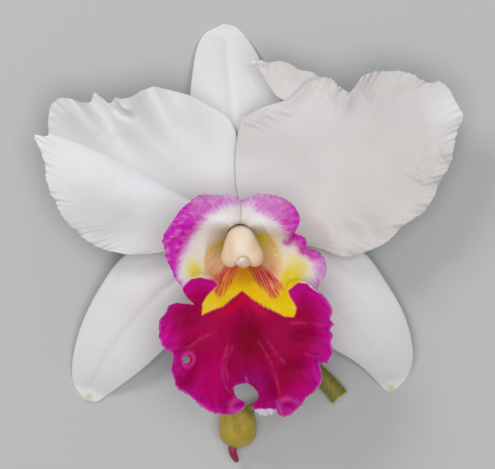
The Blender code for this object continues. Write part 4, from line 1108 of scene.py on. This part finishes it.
lip_skin, tree, shader = new_material("lip velvet")
place = object_place(tree)
fine_veins = veins(tree, 150, 0.02)
streaks = streaks_along(tree, 170, 9)
broad_streaks = streaks_along(tree, 60, 5)
hairlines = streaks_along(tree, 380, 10)
red_lines = streaks_along(tree, 230, 5)
clouds = noise(place, 160, 4)
mottled = maths("ADD", times(streaks, 0.45), times(noise(place, 420), 0.55))
feather = times(maths("SUBTRACT", streaks, 0.5), 1.1)
feather = maths("ADD", feather, times(maths("SUBTRACT", clouds, 0.5), 0.7))
cloudy = ramp(clouds, 0.3, 0.7)


def feathered(name, amount, low, high):
    """A mask whose border is drawn out into streaks."""
    return ramp(maths("ADD", mask(tree, name), times(feather, amount)), low, high)


wall = coats(
    tint(ramp(broad_streaks, 0.35, 0.7), (0.92, 0.68, 0.28), (0.88, 0.58, 0.28)),
    (mask(tree, "flush", 0.9), (0.80, 0.36, 0.28)),
    (ramp(hairlines, 0.42, 0.62, 0, 0.4), (0.66, 0.26, 0.12)),
    # The olive ovals are the walls' own olive yellow, made paler as painted light against the shade in the
    # cup.
    (mask(tree, "olive"), (0.96, 0.82, 0.10)),
    (ramp(red_lines, 0.45, 0.62, 0, 0.35), (0.66, 0.24, 0.12)),
)
gold = tint(ramp(clouds, 0.35, 0.7), (0.80, 0.44, 0.002), (0.84, 0.50, 0.003))
yellow = tint(ramp(mask(tree, "glow"), 0.5, 1), (0.75, 0.61, 0.26), (0.78, 0.52, 0.03))
stripes = mask(tree, "stripes")
throat = coats(
    tint(cloudy, (0.75, 0.64, 0.58), (0.79, 0.69, 0.62)),
    (ramp(mask(tree, "glow"), 0.05, 0.8), yellow),
    # Near-white ovals high on the walls beside the column: painted light over the shade in the deep cup.
    (mask(tree, "upper"), (0.96, 0.93, 0.90)),
    (feathered("wall", 0.25, 0.1, 0.9), wall),
    (feathered("yellow", 0.6, 0.25, 0.75), tint(mask(tree, "orange"), gold, (0.66, 0.25, 0.002))),
    (times(stripes, 0.75), (0.62, 0.12, 0.045)),
    (times(ramp(stripes, 0.08, 0.5), ramp(red_lines, 0.47, 0.53)), (0.48, 0.02, 0.03)),
)
violet = coats(
    tint(ramp(mottled, 0.34, 0.54), (0.54, 0.07, 0.46), (0.48, 0.006, 0.34)),
    (mask(tree, "faded"), tint(ramp(mottled, 0.34, 0.60), (0.68, 0.42, 0.64), (0.58, 0.16, 0.52))),
    (times(fine_veins, 0.25), (0.44, 0, 0.30)),
)
lobe = coats(
    throat,
    (feathered("violet", 0.5, 0, 0.6), (0.70, 0.44, 0.66)),
    (feathered("violet", 0.5, 0.2, 0.88), violet),
    (mask(tree, "hem", 0.35), (0.42, 0.01, 0.30)),
    (mask(tree, "curl"), (0.44, 0.006, 0.28)),
)
fine_threads = times(ramp(fine_veins, 0.6, 1), ramp(clouds, 0.45, 0.65))
skirt = coats(
    tint(cloudy, (0.28, 0, 0.04), (0.33, 0, 0.058)),
    (feathered("rim", 0.5, 0.1, 1), tint(ramp(streaks, 0.3, 0.7), (0.42, 0, 0.17), (0.50, 0.004, 0.26))),
    (mask(tree, "bright"), (0.40, 0, 0.10)),
    # Painted shade in the valleys of the skirt's folds.
    (feathered("shade", 0.4, 0, 1.1), (0.21, 0, 0.025)),
    (feathered("heart", 0.4, 0, 1), (0.16, 0, 0.012)),
    (feathered("plum", 0.3, 0.1, 1), (0.27, 0.002, 0.115)),
    (feathered("red_edge", 0.7, 0.2, 1), (0.43, 0.002, 0.035)),
    (ramp(broad_streaks, 0.5, 0.75, 0, 0.3), (0.22, 0, 0.025)),
    (times(fine_threads, 0.15), (0.56, 0.08, 0.14)),
    # Painted highlights along the fold ridges, broken by noise.
    (mask(tree, "fold_highlights", ramp(noise(place, 500), 0.35, 0.65)), (0.56, 0.08, 0.20)),
    # Painted highlights on the raised rims and the curled margins.
    (mask(tree, "ring"), (0.56, 0.03, 0.30)),
    (ramp(mask(tree, "hem"), 0, 1, 0, 0.7), (0.62, 0.06, 0.42)),
)
lip_colour = coats(
    lobe,
    (feathered("skirt", 0.6, 0.3, 0.7), skirt),
    (feathered("frill", 0.6, 0.3, 0.7), (0.78, 0.62, 0.76)),
)
feed(shader, Base_Color=lip_colour, Roughness=ramp(clouds, 0.3, 0.7, 0.42, 0.55), Specular_IOR_Level=0.04)
feed(shader, Subsurface_Weight=0.8, Subsurface_Scale=0.005, Subsurface_Radius=(1, 0.8, 0.7))
relief = maths("ADD", times(noise(place, 3000, 2), 0.25), times(streaks, 0.8))
bump(shader, maths("SUBTRACT", relief, times(fine_veins, 0.5)), 0.6, 0.00022)

points, smooth = lip_points(LIP_ROWS, LIP_STEPS)
normals = sheet_normals(smooth)
ears = [(line, EAR_RISE, *EAR_SLOPES) for line in (LEFT_EAR, RIGHT_EAR)]
for line, *slopes in ears + LIP_FOLDS:
    points = raise_crest(points, normals, line, *slopes)
points = ruffle(
    points, normals, depth=0.26, reach=2.8, lengths=(1.6, 3.8), push=0.16, seed=7, strengths=[(0, 1), (1, 1)]
)
margin = points[-1]
lip = blade("frilled_lip", points, normals, thinning(points, LIP_THICKNESS, LIP_EDGE, LIP_THINNING), lip_skin)
punches = [prism("punch", outline, *PUNCH_HEIGHTS, lip_skin) for outline in (KEYHOLE, EYELET, LEFT_SINUS)]
combine(lip, punches, "DIFFERENCE")
spots = positions(lip)
fuzzy = glow(spots, 2.5, -27, 19, 5.5)
rim_distance = margin_distance(spots, margin[:: 2 * FINE])
near_slit = np.clip(1 - np.abs(spots[:, 0] - 0.5) / 20, 0, 1) * np.clip((spots[:, 1] - 2) / 6, 0, 1)
near_ears = [near_line(spots, line, 5) for line in (LEFT_EAR, RIGHT_EAR)]
low_left = glow(spots, -11, -56, 11, 11, 0.6)
frill = np.exp(-(((spots[:, 0] - 9.3) / 4.6) ** 4)) * np.clip((-63.4 - spots[:, 1]) / 1.6, 0, 1)
marks = {
    "skirt": inside(spots, SKIRT, 0.6 + 1.8 * fuzzy),
    "yellow": inside(spots, YELLOW, 1.2),
    "wall": np.maximum(inside(spots, LEFT_WALL, 2.2), inside(spots, RIGHT_WALL, 2.2)),
    "orange": glow(spots, 0.9, -14, 4, 4.6, 0.9),
    # Painted light on the upper walls beside the column, and the olive made paler as painted light too.
    "upper": ovals(spots, (-8.5, 3.2, 5.5, 4), (8.8, 3, 5, 3.6), (-14, -2, 4, 5, 0.5)),
    "olive": ovals(spots, (-6.8, -0.8, 4, 3), (8.6, 0.2, 4.2, 4.2)),
    "flush": ovals(spots, (-10, -14, 4, 4.5), (10.6, -14, 4.5, 5)),
    "stripes": np.max([near_line(spots, line, size) for line, size in RED_STRIPES], axis=0),
    "glow": ovals(spots, (-16, -13.8, 3.6, 4.6, 0.55), (-18, -12, 5.5, 6, 0.4), (17.6, -17.4, 5, 4, 0.95),
                  (21, -11.4, 7.5, 7, 0.7)),
    "violet": 1 - inside(spots, PALE_LOBES, 3.8),
    "faded": np.clip(
        1.1 * near_slit + ovals(spots, (27.8, -17.8, 3.5, 4.5, 0.8), (29.5, -12.6, 3.4, 5, 0.85)), 0, 1
    ),
    "heart": glow(spots, 3.7, -37.5, 6.5, 9, 0.95),
    # Painted shade in the valleys of the skirt's folds.
    "shade": ovals(spots, (22, -37, 8, 4, 0.9), (18.5, -49, 7, 5, 0.85), (-20.3, -53.7, 4.5, 4, 0.8),
                   (-20.4, -29, 8, 5.5, 0.8), (26.7, -27.8, 5, 6, 0.4)),
    "plum": glow(spots, 4.5, -55.5, 8.5, 8.5),
    "bright": ovals(spots, (-10.3, -53, 5.5, 9, 0.9), (22, -58, 6, 4, 0.6)),
    "red_edge": near_line(spots, RED_EDGE, 2.4) * glow(spots, 1, -26, 13, 12),
    # Painted highlights along the fold ridges.
    "fold_highlights": 0.24 * np.max([near_line(spots, line, 0.4) for line in FOLD_HIGHLIGHT_LINES], axis=0),
    # Painted highlights on the raised rims and the curled margins.
    "ring": np.max([0.8 * near_line(spots, EYELET_RING, 0.5), 0.7 * near_line(spots, LEFT_CURL, 0.9),
                    0.7 * near_line(spots, RIGHT_CURL, 0.9), near_line(spots, KEYHOLE_RIM, 0.5),
                    near_line(spots, RIM_SPUR, 0.4)], axis=0),
    "rim": np.max([np.clip(1 - rim_distance / 11, 0, 1), *near_ears, low_left], axis=0),
    "curl": 0.85 * near_line(spots, LOBE_CURL, 1.2),
    "hem": np.clip(1 - rim_distance / 1, 0, 1),
    "frill": frill,
}
for name, values in marks.items():
    set_mask(lip, name, values)
dress(lip, "lip")

# Bud
# The closed flower bud at the branch's end, olive and waxy, of two fat lobes with a groove between them.
# It is fixed on the branch, and its pointed tip grows from its far end.
BUD_CENTRE = (-1, -73.1, 7.08)
BUD_RADII = (7.2, 8, 6.6)
BUD_GROOVE = 0.1
BUD_GROOVE_WIDTH = 0.22
BUD_SQUARENESS = 0.64
BUD_TIP = [
    (-2.6, -79.2, 6.4, 1.5, 1.5), (-2.9, -81.5, 6.2, 1.6, 1.6), (-2.6, -83.6, 5.9, 1.4, 1.4),
    (-1.6, -85.5, 5.6, 1.1, 1.1), (-1.1, -86.5, 5.5, 0.7, 0.7),
]
TIP_SEAT = (-2.5, -78.7, 6.4, 1.5, 1.5)
STALK_SEAT = (1, -68.3, 6.9, 1.7, 1.7)
bud_skin = waxy_skin("bud skin", (0.39, 0.29, 0.035), (0.47, 0.37, 0.065), 170, 0.34)[0]


def two_lobed(co):
    """Presses the groove into a ball and squares its flanks."""
    x, y, z = co
    pinch = 1 - BUD_GROOVE * math.exp(-((x / BUD_GROOVE_WIDTH) ** 2)) * (1 - y * y)
    squared = 1 + BUD_SQUARENESS * (1 - abs(x)) * abs(x) * (1 - abs(y) ** 3)
    return Vector((x * squared, y, z * pinch * squared))


bud = place_piece("olive_bud", ellipsoid(BUD_CENTRE, BUD_RADII, 28 * FINE, 40 * FINE, two_lobed), bud_skin)
socket = place_piece("tip_socket", sweep([TIP_SEAT, *BUD_TIP], 20 * FINE, 6, CLEARANCE), bud_skin)
stalk_socket = place_piece("stalk_socket", sweep([*BUD_STALK, STALK_SEAT], 16 * FINE, 8, CLEARANCE), bud_skin)
combine(bud, [socket, stalk_socket], "DIFFERENCE")
dress(bud, "bud")

# Bud tip
# The raspberry-coloured beak of the bud, where the folded sepals' ends show, seated in the bud's far end.
tip_skin = waxy_skin("bud tip skin", (0.25, 0.012, 0.045), (0.36, 0.04, 0.09), 500, 0.34)[0]
bud_tip = place_piece("raspberry_tip", sweep(BUD_TIP, 20 * FINE, 6), tip_skin)
dress(bud_tip, "bud_tip")

# Floor
# A plain pale studio floor that the flower lies on.
FLOOR_REACH = 1000.0
floor_paint, _, shader = new_material("studio floor")
feed(shader, Roughness=0.8, Base_Color=(0.45, 0.455, 0.46, 1))
bm = bmesh.new()
bmesh.ops.create_grid(bm, x_segments=8, y_segments=8, size=FLOOR_REACH)
floor = place_piece("floor", bm, floor_paint)

# Studio lights
# One soft light from the upper left, a large one almost straight above, and an even pale surround.


def area_light(name, place, size, power):
    lamp = bpy.data.lights.new(name, "AREA")
    lamp.shape = "DISK"
    lamp.size = size
    lamp.energy = power
    light = add_object(name, lamp)
    light.location = place
    light.rotation_euler = (-Vector(place)).to_track_quat("-Z", "Y").to_euler()


area_light("key light", (-0.65, 0.75, 0.95), size=0.5, power=6.1)
area_light("front light", (0.08, -0.12, 1.25), size=1, power=9.8)
world = bpy.data.worlds.new("studio")
world.use_nodes = True
feed(world.node_tree.nodes["Background"], Color=(1, 1, 1, 1), Strength=0.31)
bpy.context.scene.world = world
bpy.context.scene.view_settings.view_transform = "Standard"

# Camera
# Straight above the flower, a metre over the plane of its petals, as the flower was seen from the front.
SENSOR = 36.0
FIELD_AT_A_METRE = 186.1
lens = bpy.data.cameras.new("camera")
lens.sensor_width = SENSOR
lens.lens = SENSOR / FIELD_AT_A_METRE * 1000.0
lens.clip_start = 0.05
lens.clip_end = 20.0
camera = add_object("camera", lens)
camera.location = (-0.0002, 0.00295, 1.020)
bpy.context.scene.camera = camera
